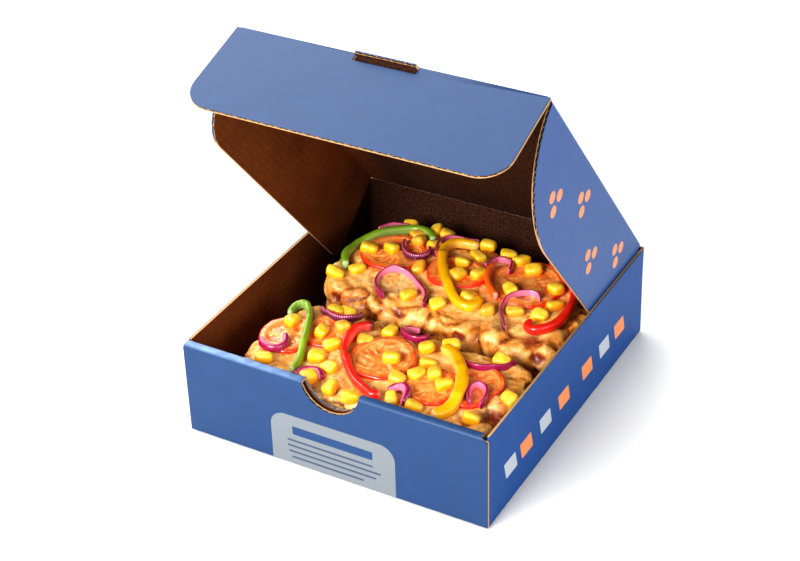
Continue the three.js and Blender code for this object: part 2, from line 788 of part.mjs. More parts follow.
function makeBox() {
  const box = new THREE.Group();
  const lidGroup = new THREE.Group();
  const flapGroup = new THREE.Group();
  lidGroup.position.set(0, LID_CREASE.y, LID_CREASE.z);
  lidGroup.rotation.x = -THREE.MathUtils.degToRad(LID_OPEN_DEG);
  flapGroup.position.set(0, -LID_LENGTH, 0);
  flapGroup.rotation.x = -THREE.MathUtils.degToRad(FLAP_OPEN_DEG);
  flapGroup.add(meshOf("front_flap", makeFlap(), MATERIALS.board));
  lidGroup.add(meshOf("lid", makeLid(), MATERIALS.board), flapGroup);
  box.add(meshOf("tray", makeTray(), MATERIALS.board), lidGroup);
  return box;
}

const pizzaInBox = new THREE.Group();
pizzaInBox.add(makeBox(), makeFood());

export default pizzaInBox;
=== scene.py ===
"""Looks for two thick slices of vegetable pizza in an open corrugated box.

The frame gives the box, the slices and their toppings as plain solids. Each operator
here makes the finished piece that stands for some of them: board folded from one
sheet with fluted cut edges, baked dough and cheese, and wet toppings.

Places and sizes inside the functions are millimetres in the frame's own axes: +X to
the right along the front wall, +Y to the back wall, +Z up. Meshes are in metres.
"""

import itertools
import json
import math

import bmesh
import bpy
import numpy as np
from bpy.props import FloatProperty, FloatVectorProperty, IntProperty, PointerProperty
from bpy.types import Operator, Panel, PropertyGroup
from mathutils import Matrix, Vector
from mathutils.bvhtree import BVHTree

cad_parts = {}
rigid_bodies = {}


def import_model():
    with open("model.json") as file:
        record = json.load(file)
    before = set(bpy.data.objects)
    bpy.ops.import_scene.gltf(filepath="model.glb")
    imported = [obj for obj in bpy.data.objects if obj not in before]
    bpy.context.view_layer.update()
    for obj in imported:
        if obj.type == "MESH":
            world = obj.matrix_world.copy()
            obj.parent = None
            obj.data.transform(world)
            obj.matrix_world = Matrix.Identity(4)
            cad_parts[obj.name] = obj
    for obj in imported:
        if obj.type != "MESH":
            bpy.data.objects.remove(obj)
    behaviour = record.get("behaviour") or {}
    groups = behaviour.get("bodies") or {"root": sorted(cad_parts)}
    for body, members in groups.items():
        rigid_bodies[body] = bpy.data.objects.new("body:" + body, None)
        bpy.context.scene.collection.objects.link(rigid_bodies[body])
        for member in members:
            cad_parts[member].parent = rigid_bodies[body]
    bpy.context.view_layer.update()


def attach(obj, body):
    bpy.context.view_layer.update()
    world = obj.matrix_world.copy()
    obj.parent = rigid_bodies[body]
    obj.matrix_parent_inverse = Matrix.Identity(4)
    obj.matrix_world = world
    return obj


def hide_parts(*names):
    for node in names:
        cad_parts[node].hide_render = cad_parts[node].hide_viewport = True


bl_info = {
    "name": "Boxed pizza slices",
    "version": (1, 0, 0),
    "blender": (4, 5, 0),
    "location": "3D View > Sidebar > Pizza",
    "description": "Finishes vegetable pizza slices in a folded corrugated box",
    "category": "Object",
}

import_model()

MM = 0.001

# ------------------------------------------------------------------ driving sizes

TRAY_HALF_WIDTH = 78.5
TRAY_HALF_DEPTH = 86.0
WALL_TOP = 49.7
FRONT_WALL_DEPTH = 5.0
ROLL_RIGHT = 74.7
ROLL_LEFT = -78.0
NOTCH_RADIUS = 15.0
NOTCH_CENTRE_Z = WALL_TOP + 2
CORNER_FLAP_LENGTH = 30.0
CORNER_FLAP_TOP = 15.0

LID_OPEN = math.radians(50.3)
LID_CREASE = (85.25, 50.75)  # y and z
LID_LENGTH = 172.5
LID_HALF_WIDTH = 76.6
EAR_DEPTH = 48.7
EAR_BACK = 2.0
EAR_BACK_RADIUS = 8.0
RIGHT_EAR_FRONT = 169.3
RIGHT_EAR_CURVE_START = 113.3
LEFT_EAR_FRONT = 169.2
LEFT_EAR_RADIUS = 17.0
EAR_RELIEF = 165.4  # where the left ear ends beside its fold, to clear the front roll
EAR_RELIEF_DOWN = 4.8  # how far down it stays that short
CREASE_GAP = 0.06  # from the back wall up to the lid's board

FLAP_OPEN = math.radians(22)
FLAP_DEPTH = 49.8
FLAP_CORNER_RADIUS = 13.5
FLAP_FLARE = 0.5
TAB_HALF_WIDTH = 15.0
TAB_LENGTH = 3.5
TAB_CORNER = (0.9, 0.7)  # cut off its corners, across and along
TAB_CLEARANCE = 0.4

SLICE_FLOOR = 1.8
DOUGH_TOP = 27.0
CHEESE_BOTTOM = 27.3
EDGE_DROP = 5.0
EDGE_ROLL = 9.0
OUTLINE_POINTS = 48
TOMATO_RISE = 2.2
TOMATO_DISH = 0.5
STRIP_STEP = 4.2
STRIP_SINK = 0.8
KERNEL_RISE = 1.2

# Each slice: the height of its top, the line its edge is drawn in to, and its edge.
SLICES = {
    "front": {
        "top": 39.6,
        "spine": (-28, 42, -46),
        "outline": [
            (-60, -76), (-30, -79.3), (10, -79.5), (50, -79.3), (70, -77), (74, -60),
            (74, -35), (71, -19), (60, -13), (35, -12.5), (5, -12.5), (-25, -12),
            (-46, -14.5), (-56, -20), (-58.5, -36), (-61, -56),
        ],
    },
    "back": {
        "top": 41.0,
        "spine": (-28, 40, 30),
        "outline": [
            (-60, 5), (-50, -4), (-30, -7), (0, -8), (35, -8.3), (62, -8), (72, -3),
            (74, 12), (74, 35), (72, 56), (61, 66), (35, 68.5), (5, 68.5), (-25, 68),
            (-46, 65), (-56, 54), (-61, 38), (-62, 20),
        ],
    },
}

# Tomato slices: node, slice, centre and half sizes, in the order they are laid.
TOMATOES = [
    ("tomato_front_1", "front", -46.5, -46.5, 13, 15),
    ("tomato_front_2", "front", -30, -36, 13, 13.5),
    ("tomato_front_3", "front", 3, -43.5, 16, 17),
    ("tomato_front_4", "front", 33.5, -53, 12.5, 14),
    ("tomato_front_5", "front", 50.5, -43, 12.5, 16.5),
    ("tomato_back_1", "back", -35, 36.5, 17, 16.5),
    ("tomato_back_2", "back", 1, 34.5, 16, 13.5),
    ("tomato_back_3", "back", 36, 40.5, 19.5, 20),
]

# Strips: node, slice, width, height and the line along the middle.
PEPPERS = [
    ("pepper_green_front", "front", 3.4, 4.2, [(-54.5, -32), (-56, -26.5), (-55, -21.5),
     (-50.5, -23), (-43.5, -31.5), (-39.5, -40), (-35.5, -49), (-33, -56),
     (-30, -64.5), (-29, -72)]),
    ("pepper_red_front", "front", 4.2, 4, [(-13, -23), (-16.5, -27), (-18, -34),
     (-17.5, -41), (-15.5, -47), (-9, -55.5), (-2.5, -61.5), (5.5, -67), (12, -70.5),
     (16.5, -69)]),
    ("pepper_yellow_front", "front", 6.2, 4, [(24, -24), (30, -26), (37, -33),
     (43, -41.5), (47, -50.5), (48.5, -60), (47, -67), (44, -72)]),
    ("pepper_green_back", "back", 4.4, 4, [(-50.5, 14.5), (-55, 21.5), (-56.5, 29.5),
     (-55.5, 38), (-51.5, 45.5), (-47, 52.5), (-41.5, 58.5), (-36.5, 61), (-31, 61),
     (-26, 58), (-22.5, 54)]),
    ("pepper_yellow_back", "back", 5, 4, [(0, 60), (-7, 60.3), (-12.5, 57.5),
     (-14, 50), (-10.5, 41), (-6, 33), (0, 24.5), (6, 17.5), (12, 12.5), (18, 10.8),
     (22.3, 13.5), (20.5, 19)]),
    ("pepper_orange_back", "back", 3.2, 3.6, [(16.3, 45.5), (16, 39.5), (18.8, 32.5),
     (24, 25.5), (29.5, 20.8)]),
    ("pepper_red_back", "back", 4.4, 4, [(38, 63), (45, 60), (52.5, 52.5), (58.5, 45),
     (62.5, 36.5), (64, 27.5), (63.8, 18), (61.5, 10.5), (57, 6.8), (52.3, 8),
     (52, 12.5)]),
]
ONIONS = [
    ("onion_pink_front_left", "front", 4.2, 4, [(-54.5, -57.5), (-50, -61),
     (-45, -61.5), (-42, -58), (-43.5, -53), (-46, -49.5)]),
    ("onion_purple_front_back", "front", 2.8, 4.2, [(-43.5, -20.5), (-39.5, -24),
     (-34, -26.5), (-29, -26.5), (-25.5, -24.5), (-23.5, -20.5), (-23.5, -16)]),
    ("onion_pink_front_rim", "front", 4.6, 3.6, [(-27, -72.5), (-25.5, -67.5),
     (-21.5, -65.3), (-17.5, -66), (-14.5, -70)]),
    ("onion_ring_front", "front", 2.6, 4, [(6.5, -13.5), (1.5, -13), (-1, -16.5),
     (1, -20.3), (5.5, -23), (10, -23), (13, -20), (12.5, -16.5)]),
    ("onion_purple_front_rim", "front", 4.8, 4.6, [(17, -63.5), (19.5, -60.5),
     (24, -60.7), (28, -65), (28.5, -71)]),
    ("onion_crescent_front", "front", 2.4, 3.8, [(36, -29), (41, -31), (46, -31.8),
     (51, -29.5), (55.5, -25), (57.5, -21), (58, -16.5)]),
    ("onion_ring_front_right", "front", 2.6, 4.2, [(55.5, -58), (52.5, -53.5),
     (50.8, -48.5), (51.5, -44), (55, -43.5), (58, -46.5), (60, -51.5),
     (59.5, -56.5)]),
    ("onion_pink_back_edge", "back", 2.6, 6, [(-53.5, 52), (-51, 58.5), (-47, 62.8),
     (-41.5, 65)]),
    ("onion_purple_back_left", "back", 3, 4, [(-34.5, 46.5), (-32.5, 41),
     (-28.5, 36.5), (-23.5, 35.2), (-19.5, 37.5), (-18.5, 42), (-20.5, 46)]),
    ("onion_pink_back_arc", "back", 2.4, 4.6, [(-20.5, -1), (-25.5, 2.5), (-30, 8.5),
     (-31.5, 14.5), (-29.5, 19.5), (-25, 22), (-18.5, 21.5), (-12, 17.8),
     (-5.5, 12.5), (-1.8, 7), (-0.3, 1)]),
    ("onion_pink_back_middle", "back", 2.6, 5.4, [(-15.5, 43), (-18.5, 52),
     (-18.5, 59.5), (-15.5, 63.5), (-9.5, 65.3), (-2, 65.6)]),
    ("onion_curl_back", "back", 2.8, 4, [(12, 43.5), (11.5, 50.5), (14, 56),
     (19, 55.5), (23.5, 49.5), (24.8, 43.5)]),
    ("onion_purple_back_right", "back", 2.2, 4, [(43.5, 1.5), (38.8, 8.5),
     (34.8, 15.5), (34, 22), (36.8, 28.5), (41.5, 31.8), (46, 32), (48.8, 28.5)]),
]

# Places where the cheese's side is torn open and dark: slice, place and reach.
HOLLOWS = [
    ("back", -47, -1, 35, 5), ("back", -11, -4.5, 38.5, 5.5), ("back", 22, -7, 36, 5),
    ("back", 46, 1, 39, 4.5), ("back", 58, 2, 39, 8), ("back", 64, -6, 36, 6),
    ("front", 67, -57, 38, 8), ("front", 72, -28, 36, 6), ("front", 69, -72, 34, 8),
]

# Sweetcorn kernels: place and turn in degrees.
KERNELS = {
    "front": [
        (-46, -68.5, 20), (-49, -37.5, 70), (-32, -39.5, 110), (-37, -18, 0),
        (-32, -16, 170), (-25, -31.5, 150), (-24.5, -56.5, 20), (-22, -46.5, 40),
        (-15.5, -61, 160), (-7.5, -73, 95), (4.5, -75.5, 30), (-19.5, -72, 60),
        (-11.5, -34, 10), (-4.5, -22.5, 80), (7.5, -43, 20), (17, -54.5, 0),
        (24, -48.5, 60), (23, -36.5, 30), (31, -45, 120), (39, -50.5, 50),
        (17, -26.5, 50), (26, -19, 20), (21.5, -68.5, 130), (34, -70, 10),
        (52, -18.5, 10), (68.5, -44.5, 160), (60, -65, 20),
    ],
    "back": [
        (-52.5, 7.5, 20), (-45, 16.5, 50), (-47.5, 32.5, 10), (-37.5, 37.5, 160),
        (-33, 57.5, 40), (-28.5, 50.5, 90), (-27, 65, 100), (-42.5, 67, 20),
        (-20, 64.5, 20), (-19.5, 50.5, 60), (-17.5, 29.5, 100), (-11, 7, 50),
        (5.5, 5.5, 60), (0.5, 42, 0), (3, 31, 70), (3.5, 52, 160), (12.5, 36, 60),
        (3.5, 64, 0), (16, 62, 20), (16, 18.5, 90), (29, 13, 120), (26, 56, 60),
        (34.5, 51.5, 10), (51, 41, 140), (55.5, 31, 40), (41.5, 16.5, 30),
        (53, 19.5, 10), (32, 30.5, 150),
    ],
}


def srgb(*channels):
    """A colour given in everyday 0 to 255 values, as Blender's linear colour."""
    return tuple((c / 255 / 12.92) if c <= 10 else ((c / 255 + 0.055) / 1.055) ** 2.4 for c in channels)


def length(millimetres, label, text):
    """A length that the user can change."""
    return FloatProperty(
        name=label, description=text, default=millimetres * MM, min=0, unit="LENGTH", precision=5
    )


def colour(channels, label, text):
    """A colour that the user can change."""
    return FloatVectorProperty(
        name=label, description=text, default=srgb(*channels), size=3, min=0, max=1, subtype="COLOR"
    )


class PIZZA_PG_box(PropertyGroup):
    """Board, folds and print of the box."""

    board: length(1.5, "Board", "Thickness of the corrugated board")
    fold_radius: length(1.7, "Fold radius", "Outer radius of a folded edge")
    flute_pitch: length(3.4, "Flute pitch", "Distance from one flute to the next")
    flute_depth: length(0.9, "Flute depth", "How deep the open flutes are at a cut edge")
    print_blue: colour((32, 62, 104), "Printed face", "Blue ink on the outside")
    # Painted shade: the side walls and ears take the same ink, painted a deeper, more saturated blue for the
    # weaker light on them.
    side_blue_painted_shade: colour((16, 72, 138), "Printed sides", "Deeper blue ink on the side walls and ears")
    # Partly ink stretched pale over the roll, partly a painted highlight on it.
    worn_and_sheen_blue: colour((122, 152, 192), "Worn fold", "Ink stretched pale on the rolled edge")
    kraft: colour((114, 58, 20), "Bare face", "Brown paper on the inside")
    # Painted shade: the bare paper is coloured darker where it lies deep in shade, inside the lid and towards
    # the back wall; also the tone of random darker clouds.
    kraft_painted_shade: colour((38, 8, 3), "Bare face, deep", "Brown paper far inside the lid")
    cut: colour((190, 154, 110), "Cut edge", "Paper at a cut edge")
    # Painted shade: the dark given to open flutes and to the inside of the hollow front wall.
    hollow: colour((34, 16, 6), "Flute hollow", "Inside of an open flute")
    label: colour((116, 122, 128), "Label", "Pale field on the front wall")
    white_ink: colour((176, 182, 190), "White ink", "Pale dashes on the side walls")
    label_line: colour((62, 72, 96), "Label lines", "Fine lines on the label")
    accent: colour((226, 138, 84), "Accent", "Orange spots and dashes")


class PIZZA_PG_slices(PropertyGroup):
    """Dough and cheese."""

    blob_size: length(17, "Cheese lobes", "Width of the lobes in the cheese")
    blob_height: length(4.6, "Lobe height", "How far they swell at the slice's sides")
    cheese: colour((228, 152, 60), "Cheese", "Melted cheese")
    # Also painted shade in the cheese's valleys and creases.
    cheese_golden: colour((190, 104, 30), "Golden cheese", "Cheese coloured by the oven")
    cheese_toasted: colour((160, 80, 26), "Toasted cheese", "Small darker patches")
    # Also painted highlight on the cheese's crests, and the paler top of the cheese.
    cheese_cream: colour((252, 208, 132), "Cream", "Palest melted patches")
    # Also painted shade in the cheese's creases and valleys, and low on its sides.
    cheese_brown: colour((104, 40, 12), "Browned cheese", "Spots and seams that caught")
    juice: colour((236, 140, 66), "Tomato juice", "Cheese soaked by a tomato slice")
    sauce: colour((122, 30, 8), "Sauce", "Dark sauce where the cheese is torn")
    crust: colour((196, 132, 72), "Crust", "Side of the dough")
    # Also painted shade in the pores of the dough's sides.
    crust_dark: colour((120, 62, 30), "Dark crust", "Deep and browned parts of the dough")


class PIZZA_PG_toppings(PropertyGroup):
    """Vegetables on the slices."""

    kernel_length: length(8.9, "Kernel length", "Length of a sweetcorn kernel")
    kernel_width: length(7.3, "Kernel width", "Width of a sweetcorn kernel")
    kernel_height: length(6, "Kernel height", "Height of a sweetcorn kernel")
    flakes: IntProperty(name="Flakes", description="Herb flakes", default=110, min=0)
    tomato: colour((236, 96, 32), "Tomato", "Flesh of a tomato slice")
    tomato_skin: colour((222, 52, 22), "Tomato skin", "Rim of a tomato slice")
    tomato_pulp: colour((246, 168, 88), "Tomato pulp", "Pale inside of a tomato slice")
    seed: colour((248, 196, 110), "Tomato seed", "Seeds in the pulp")
    green: colour((126, 162, 30), "Green pepper", "Green pepper skin")
    red: colour((234, 38, 22), "Red pepper", "Red pepper skin")
    yellow: colour((252, 180, 8), "Yellow pepper", "Yellow pepper skin")
    orange: colour((246, 104, 24), "Orange pepper", "Orange pepper skin")
    onion_skin: colour((84, 4, 50), "Onion skin", "Purple outer side of red onion")
    onion_pink: colour((152, 10, 74), "Pink onion skin", "Outer side of an inner ring")
    onion_flesh: colour((186, 40, 96), "Onion flesh", "Inner side of red onion")
    onion_pale: colour((226, 126, 154), "Pale onion", "Streaks in the flesh")
    corn: colour((252, 192, 34), "Sweetcorn", "Sweetcorn kernel")
    # Painted highlight on a kernel's upper side.
    corn_highlight: colour((254, 222, 96), "Kernel top", "Pale upper side of a kernel")
    herb: colour((74, 58, 22), "Herbs", "Dried herb flakes")


class PIZZA_PG_stage(PropertyGroup):
    """Floor, light and camera."""

    floor: colour((222, 222, 220), "Floor", "Plain pale floor")
    key_power: FloatProperty(name="Key light", description="Soft light, front left", default=17, unit="POWER")
    top_power: FloatProperty(name="Top light", description="Soft light, back left", default=20, unit="POWER")
    side_power: FloatProperty(name="Side light", description="Weak light, right", default=6.5, unit="POWER")
    sky: FloatProperty(name="Room light", description="Even light all round", default=0.68, min=0)
    lens: FloatProperty(name="Lens", description="Focal length", default=83.7, unit="CAMERA")


# ---------------------------------------------------------------------- materials


class Finish:
    """A material being put together: each call adds one node and gives its output."""

    def __init__(self, name, **surface):
        self.material = bpy.data.materials.new(name)
        self.material.use_nodes = True
        self.tree = self.material.node_tree
        self.shader = self.tree.nodes["Principled BSDF"]
        for socket, value in surface.items():
            self.feed(socket.replace("_", " "), value)

    def feed(self, socket, value):
        """Sets one of the surface's own inputs, or links a node to it."""
        self._join(self.shader.inputs[socket], value)

    def _join(self, socket, value):
        if isinstance(value, bpy.types.NodeSocket):
            self.tree.links.new(value, socket)
        elif socket.type == "RGBA":
            socket.default_value = (*value[:3], 1)
        else:
            socket.default_value = value

    def add(self, kind, inputs, output=0, **settings):
        node = self.tree.nodes.new("ShaderNode" + kind)
        for key, value in settings.items():
            setattr(node, key, value)
        for key, value in inputs.items():
            self._join(node.inputs[key], value)
        return node.outputs[output]

    def place(self):
        """Where a point of the piece is, in metres."""
        return self.add("TexCoord", {}, "Object")

    def sheet(self):
        """Place on the flat sheet in metres: X across the flutes, Y along them."""
        return self.add("UVMap", {}, uv_map="sheet")

    def value(self, name):
        """A value that the mesh holds for each point."""
        return self.add("Attribute", {}, "Fac", attribute_name=name)

    def noise(self, size, detail=2.0, where=None, rough=0.5):
        """Random unevenness whose features are about that many millimetres wide."""
        inputs = {"Vector": where or self.place(), "Scale": 1000 / size}
        return self.add("TexNoise", {**inputs, "Detail": detail, "Roughness": rough})

    def sums(self, operation, first, second=0.0):
        """One number made of two, by adding, multiplying or another operation."""
        return self.add("Math", {0: first, 1: second}, operation=operation)

    def vectors(self, operation, first, second=(0, 0, 0)):
        return self.add("VectorMath", {0: first, 1: second}, operation=operation)

    def ramp(self, value, low, high, start=0.0, end=1.0):
        """From start where the value is low to end where it is high, smoothly."""
        inputs = {"Value": value, 1: low, 2: high, 3: start, 4: end}
        return self.add("MapRange", inputs, interpolation_type="SMOOTHSTEP")

    def patchy(self, amount, size, detail, limits, shares, rough=0.5):
        """An amount that comes and goes in patches, from one share of it to another."""
        patches = self.ramp(self.noise(size, detail, rough=rough), *limits, *shares)
        return self.sums("MULTIPLY", amount, patches)

    def blend(self, amount, first, second):
        """From the first colour to the second by an amount from 0 to 1."""
        return self.add("Mix", {0: amount, 6: first, 7: second}, 2, data_type="RGBA")

    def relief(self, height, depth, over=None):
        """Fine relief that many millimetres deep, over another one if that is given."""
        inputs = {"Height": height, "Distance": depth * MM, "Strength": 1.0}
        if over is not None:
            inputs["Normal"] = over
        return self.add("Bump", inputs)


def rounded_box(finish, where, centre, half, radius):
    """How far outside a rounded rectangle a point of the sheet is, in metres."""
    corner = [h * MM - radius * MM for h in half]
    offset = finish.vectors("SUBTRACT", where, (centre[0] * MM, centre[1] * MM, 0))
    outside = finish.vectors("SUBTRACT", finish.vectors("ABSOLUTE", offset), (*corner, 0))
    beyond = finish.vectors("MAXIMUM", outside, (0, 0, 0))
    flat = finish.vectors("MULTIPLY", beyond, (1, 1, 0))
    reach = finish.add("VectorMath", {0: flat}, "Value", operation="LENGTH")
    return finish.sums("SUBTRACT", reach, radius * MM)


INK_EDGE = 0.08  # softness of a printed edge
ROLL_START = 47.6  # how far up the front wall's sheet the paler fold begins, partly stretched ink and partly painted highlight
DASH_SLANT = 0.26
DASH_LEVEL = 20  # height of the dashes on a side wall
DASH_HALF = (4.6, 5.6)
DOT_RADIUS = 2.9
DOT_SPREAD = 4.6  # from the middle of a trio to each of its dots


def inked(finish, ground, ink, distance):
    """The ground with ink where the distance is below nothing."""
    amount = finish.ramp(distance, -INK_EDGE * MM, INK_EDGE * MM, 1.0, 0.0)
    return finish.blend(amount, ground, ink)


def nearest(finish, distances):
    """The smallest of several distances."""
    whole = distances[0]
    for other in distances[1:]:
        whole = finish.sums("MINIMUM", whole, other)
    return whole


def label_print(finish, box, ground):
    """A pale field with one plain bar and a few fine lines of uneven length, and ink
    that is paler on the roll: partly stretched over the fold, partly a painted highlight fading out to the
    right."""
    where = finish.sheet()
    across = finish.add("SeparateXYZ", {0: where}, "X")
    along = finish.add("SeparateXYZ", {0: where}, "Y")
    # Paler ink on the roll, partly wear and partly painted highlight: strongest at the left, nearly gone at
    # the right.
    wear_and_sheen = finish.patchy(finish.ramp(across, -60 * MM, 30 * MM, 1, 0.1), 4, 4, (0.35, 0.65), (0.6, 1))
    rolled = finish.sums("MULTIPLY", finish.ramp(along, ROLL_START * MM, (ROLL_START + 2) * MM), wear_and_sheen)
    ground = finish.blend(rolled, ground, box.worn_and_sheen_blue)
    field = rounded_box(finish, where, (0, 8), (32.5, 19.5), 8)
    ground = inked(finish, ground, box.label, field)
    bar = rounded_box(finish, where, (0, 19.3), (21, 2.3), 0.8)
    ground = inked(finish, ground, box.print_blue, bar)
    lines = [(-1.5, 13.4, 22.5), (0.5, 10.2, 24.5), (-0.5, 7, 23), (-3, 3.8, 19)]
    fine = nearest(finish, [rounded_box(finish, where, (x, z), (half, 0.55), 0.3) for x, z, half in lines])
    return inked(finish, ground, box.label_line, fine)


def dash_print(finish, box, ground):
    """Slanted dashes, some white and some orange, in a row along a side wall."""
    where = finish.sheet()
    parts = finish.add("SeparateXYZ", {0: where}, "X"), finish.add("SeparateXYZ", {0: where}, "Y")
    slant = finish.sums("MULTIPLY", parts[0], DASH_SLANT)
    along = finish.sums("ADD", parts[1], slant)
    level = finish.add("CombineXYZ", {0: parts[0], 1: along})
    for ink, dashes in ((box.white_ink, (-58, -22, 44)), (box.accent, (-42, -2, 24, 62))):
        marks = [rounded_box(finish, level, (DASH_LEVEL, y), DASH_HALF, 0.6) for y in dashes]
        ground = inked(finish, ground, ink, nearest(finish, marks))
    return ground


def dot_print(finish, box, ground):
    """Trios of plain dots on the ears."""
    where = finish.sheet()
    mirrored = finish.vectors("ABSOLUTE", where)
    dots = []
    for across, along in ((92, 30), (107, 62), (92, 96), (105, 128)):
        for turn in (90, 210, 330):
            angle = math.radians(turn)
            centre = (across + DOT_SPREAD * math.cos(angle), along + DOT_SPREAD * math.sin(angle))
            dots.append(rounded_box(finish, mirrored, centre, (DOT_RADIUS, DOT_RADIUS), DOT_RADIUS))
    return inked(finish, ground, box.accent, nearest(finish, dots))


def printed_finish(name, box, blue, gloss, artwork=None):
    """Blue satin ink on paper that shows the flutes under it very faintly."""
    finish = Finish(name, Roughness=0.44, Specular_IOR_Level=0.14 + 0.18 * gloss,
                    Coat_Weight=0.1 * gloss, Coat_Roughness=0.3)
    mottle = finish.ramp(finish.noise(14, 4), 0.3, 0.7)
    darker = tuple(0.93 * c for c in blue)
    ground = finish.blend(mottle, darker, blue)
    if artwork:
        ground = artwork(finish, box, ground)
    finish.feed("Base Color", ground)
    across = finish.add("SeparateXYZ", {0: finish.sheet()}, "X")
    turns = finish.sums("MULTIPLY", across, 2 * math.pi / box.flute_pitch)
    flutes = finish.relief(finish.sums("SINE", turns), 0.006)
    grain = finish.relief(finish.noise(0.7, 3), 0.01, flutes)
    finish.feed("Normal", grain)
    return finish.material


def hollow_finish(box):
    """Bare board inside the hollow front wall, painted dark as shade, since hardly any light comes there."""
    finish = Finish("hollow_wall_painted_shade", Roughness=0.9, Specular_IOR_Level=0.1)
    fibres = finish.noise(1.1, 4, rough=0.7)
    finish.feed("Base Color", finish.blend(fibres, box.hollow, box.kraft))
    finish.feed("Normal", finish.relief(fibres, 0.03))
    return finish.material


def kraft_finish(box, name, axis, low, high):
    """Bare brown paper with fibres, and painted shade that darkens it along one axis."""
    finish = Finish(name, Roughness=0.82, Specular_IOR_Level=0.2)
    along = finish.add("SeparateXYZ", {0: finish.place()}, axis)
    # Painted shade: darker from low to high along the axis.
    ground = finish.blend(finish.ramp(along, low * MM, high * MM), box.kraft, box.kraft_painted_shade)
    stretched = finish.vectors("MULTIPLY", finish.place(), (1, 0.35, 1))
    fibres = finish.noise(1.1, 4, stretched, 0.7)
    clouds = finish.noise(22, 3)
    pale = finish.blend(finish.ramp(fibres, 0.35, 0.75, 0.0, 0.16), ground, srgb(176, 118, 66))
    finish.feed("Base Color", finish.blend(finish.ramp(clouds, 0.3, 0.75, 0.0, 0.3), pale, box.kraft_painted_shade))
    across = finish.add("SeparateXYZ", {0: finish.sheet()}, "X")
    turns = finish.sums("MULTIPLY", across, 2 * math.pi / box.flute_pitch)
    flutes = finish.relief(finish.sums("SINE", turns), 0.03)
    finish.feed("Normal", finish.relief(fibres, 0.03, flutes))
    return finish.material


def cut_finish(box):
    """Cut board: two pale liners, with the open flutes between them painted dark as shade."""
    finish = Finish("cut_board", Roughness=0.9, Specular_IOR_Level=0.15)
    fibres = finish.noise(0.5, 3)
    paper = finish.blend(finish.ramp(fibres, 0.3, 0.7, 0.0, 0.22), box.cut, box.kraft)
    # Painted shade in the open flutes.
    deep = finish.ramp(finish.value("pocket"), 0.1, 0.75)
    finish.feed("Base Color", finish.blend(deep, paper, box.hollow))
    finish.feed("Normal", finish.relief(fibres, 0.05))
    return finish.material


# ------------------------------------------------------------------- curve helpers


def smooth_curve(points, closed=False, steps=24):
    """A curve through the points whose bends stay close to them, as short steps."""
    points = np.asarray(points, float)
    if closed:
        padded = np.vstack([points[-1:], points, points[:2]])
    else:
        padded = np.vstack([2 * points[0] - points[1], points, 2 * points[-1] - points[-2]])
    t = np.linspace(0, 1, steps, endpoint=False)[:, None]
    runs = []
    for p0, p1, p2, p3 in zip(padded[:-3], padded[1:-2], padded[2:-1], padded[3:]):
        d0, d1, d2 = (math.sqrt(np.linalg.norm(b - a)) for a, b in ((p0, p1), (p1, p2), (p2, p3)))
        leave = ((p1 - p0) / d0 - (p2 - p0) / (d0 + d1) + (p2 - p1) / d1) * d1
        arrive = ((p2 - p1) / d1 - (p3 - p1) / (d1 + d2) + (p3 - p2) / d2) * d1
        square = 3 * (p2 - p1) - 2 * leave - arrive
        cube = 2 * (p1 - p2) + leave + arrive
        runs.append(p1 + leave * t + square * t**2 + cube * t**3)
    if not closed:
        runs.append(points[-1:])
    return np.vstack(runs)


def spaced(curve, count, closed=False):
    """That many points at even spacing along a curve. A closed one leaves out its end."""
    if closed:
        curve = np.vstack([curve, curve[:1]])
    runs = np.linalg.norm(np.diff(curve, axis=0), axis=1)
    along = np.concatenate([[0], np.cumsum(runs)])
    at = np.linspace(0, along[-1], count, endpoint=not closed)
    return np.stack([np.interp(at, along, column) for column in curve.T], axis=1)


def curve_length(curve):
    return np.linalg.norm(np.diff(curve, axis=0), axis=1).sum()


def arc(centre, radius, start, end, step=0.4):
    """Points on an arc of a circle or of an upright ellipse, angles in degrees."""
    radii = (radius, radius) if np.isscalar(radius) else radius
    count = max(3, math.ceil(abs(math.radians(end - start)) * max(radii) / step))
    angles = np.radians(np.linspace(start, end, count + 1))
    return [(centre[0] + radii[0] * math.cos(t), centre[1] + radii[1] * math.sin(t)) for t in angles]


def ease(value, low, high):
    """0 below low, 1 above high and smooth between them."""
    t = np.clip((np.asarray(value, float) - low) / (high - low), 0, 1)
    return t * t * (3 - 2 * t)


def cell_hash(cells, seed):
    """A number from 0 to 1 for each cell of a lattice, the same each time."""
    mixed = cells @ np.array([73856093, 19349663, 83492791]) + seed * 982451653
    mixed = (mixed ^ (mixed >> 13)) * 1274126177
    mixed = mixed ^ (mixed >> 16)
    return (mixed & 0xFFFF) / 65535.0


def rough(points, size, seed=0):
    """Smooth random unevenness of that size, from -1 to 1."""
    scaled = points / size
    cells = np.floor(scaled).astype(np.int64)
    part = scaled - cells
    part = part * part * (3 - 2 * part)
    total = np.zeros(len(points))
    for corner in itertools.product((0, 1), repeat=3):
        weight = np.prod(np.where(corner, part, 1 - part), axis=1)
        total += weight * cell_hash(cells + corner, seed)
    return 2 * total - 1


def blobs(points, size, seed=0):
    """Distances to the nearest and second nearest of scattered centres, in sizes."""
    scaled = points / size
    cells = np.floor(scaled).astype(np.int64)
    found = []
    for corner in itertools.product((-1, 0, 1), repeat=3):
        cell = cells + corner
        centre = cell + np.stack([cell_hash(cell, seed + k) for k in (1, 2, 3)], axis=1)
        found.append(np.linalg.norm(scaled - centre, axis=1))
    found = np.sort(np.stack(found), axis=0)
    return found[0], found[1]


# -------------------------------------------------------------------- mesh helpers


def finish_piece(name, mesh, body, nodes=()):
    """Puts a finished mesh in the scene as a piece that moves with a body."""
    piece = bpy.data.objects.new(name, mesh)
    bpy.context.scene.collection.objects.link(piece)
    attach(piece, body)
    if nodes:
        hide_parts(*nodes)
    return piece


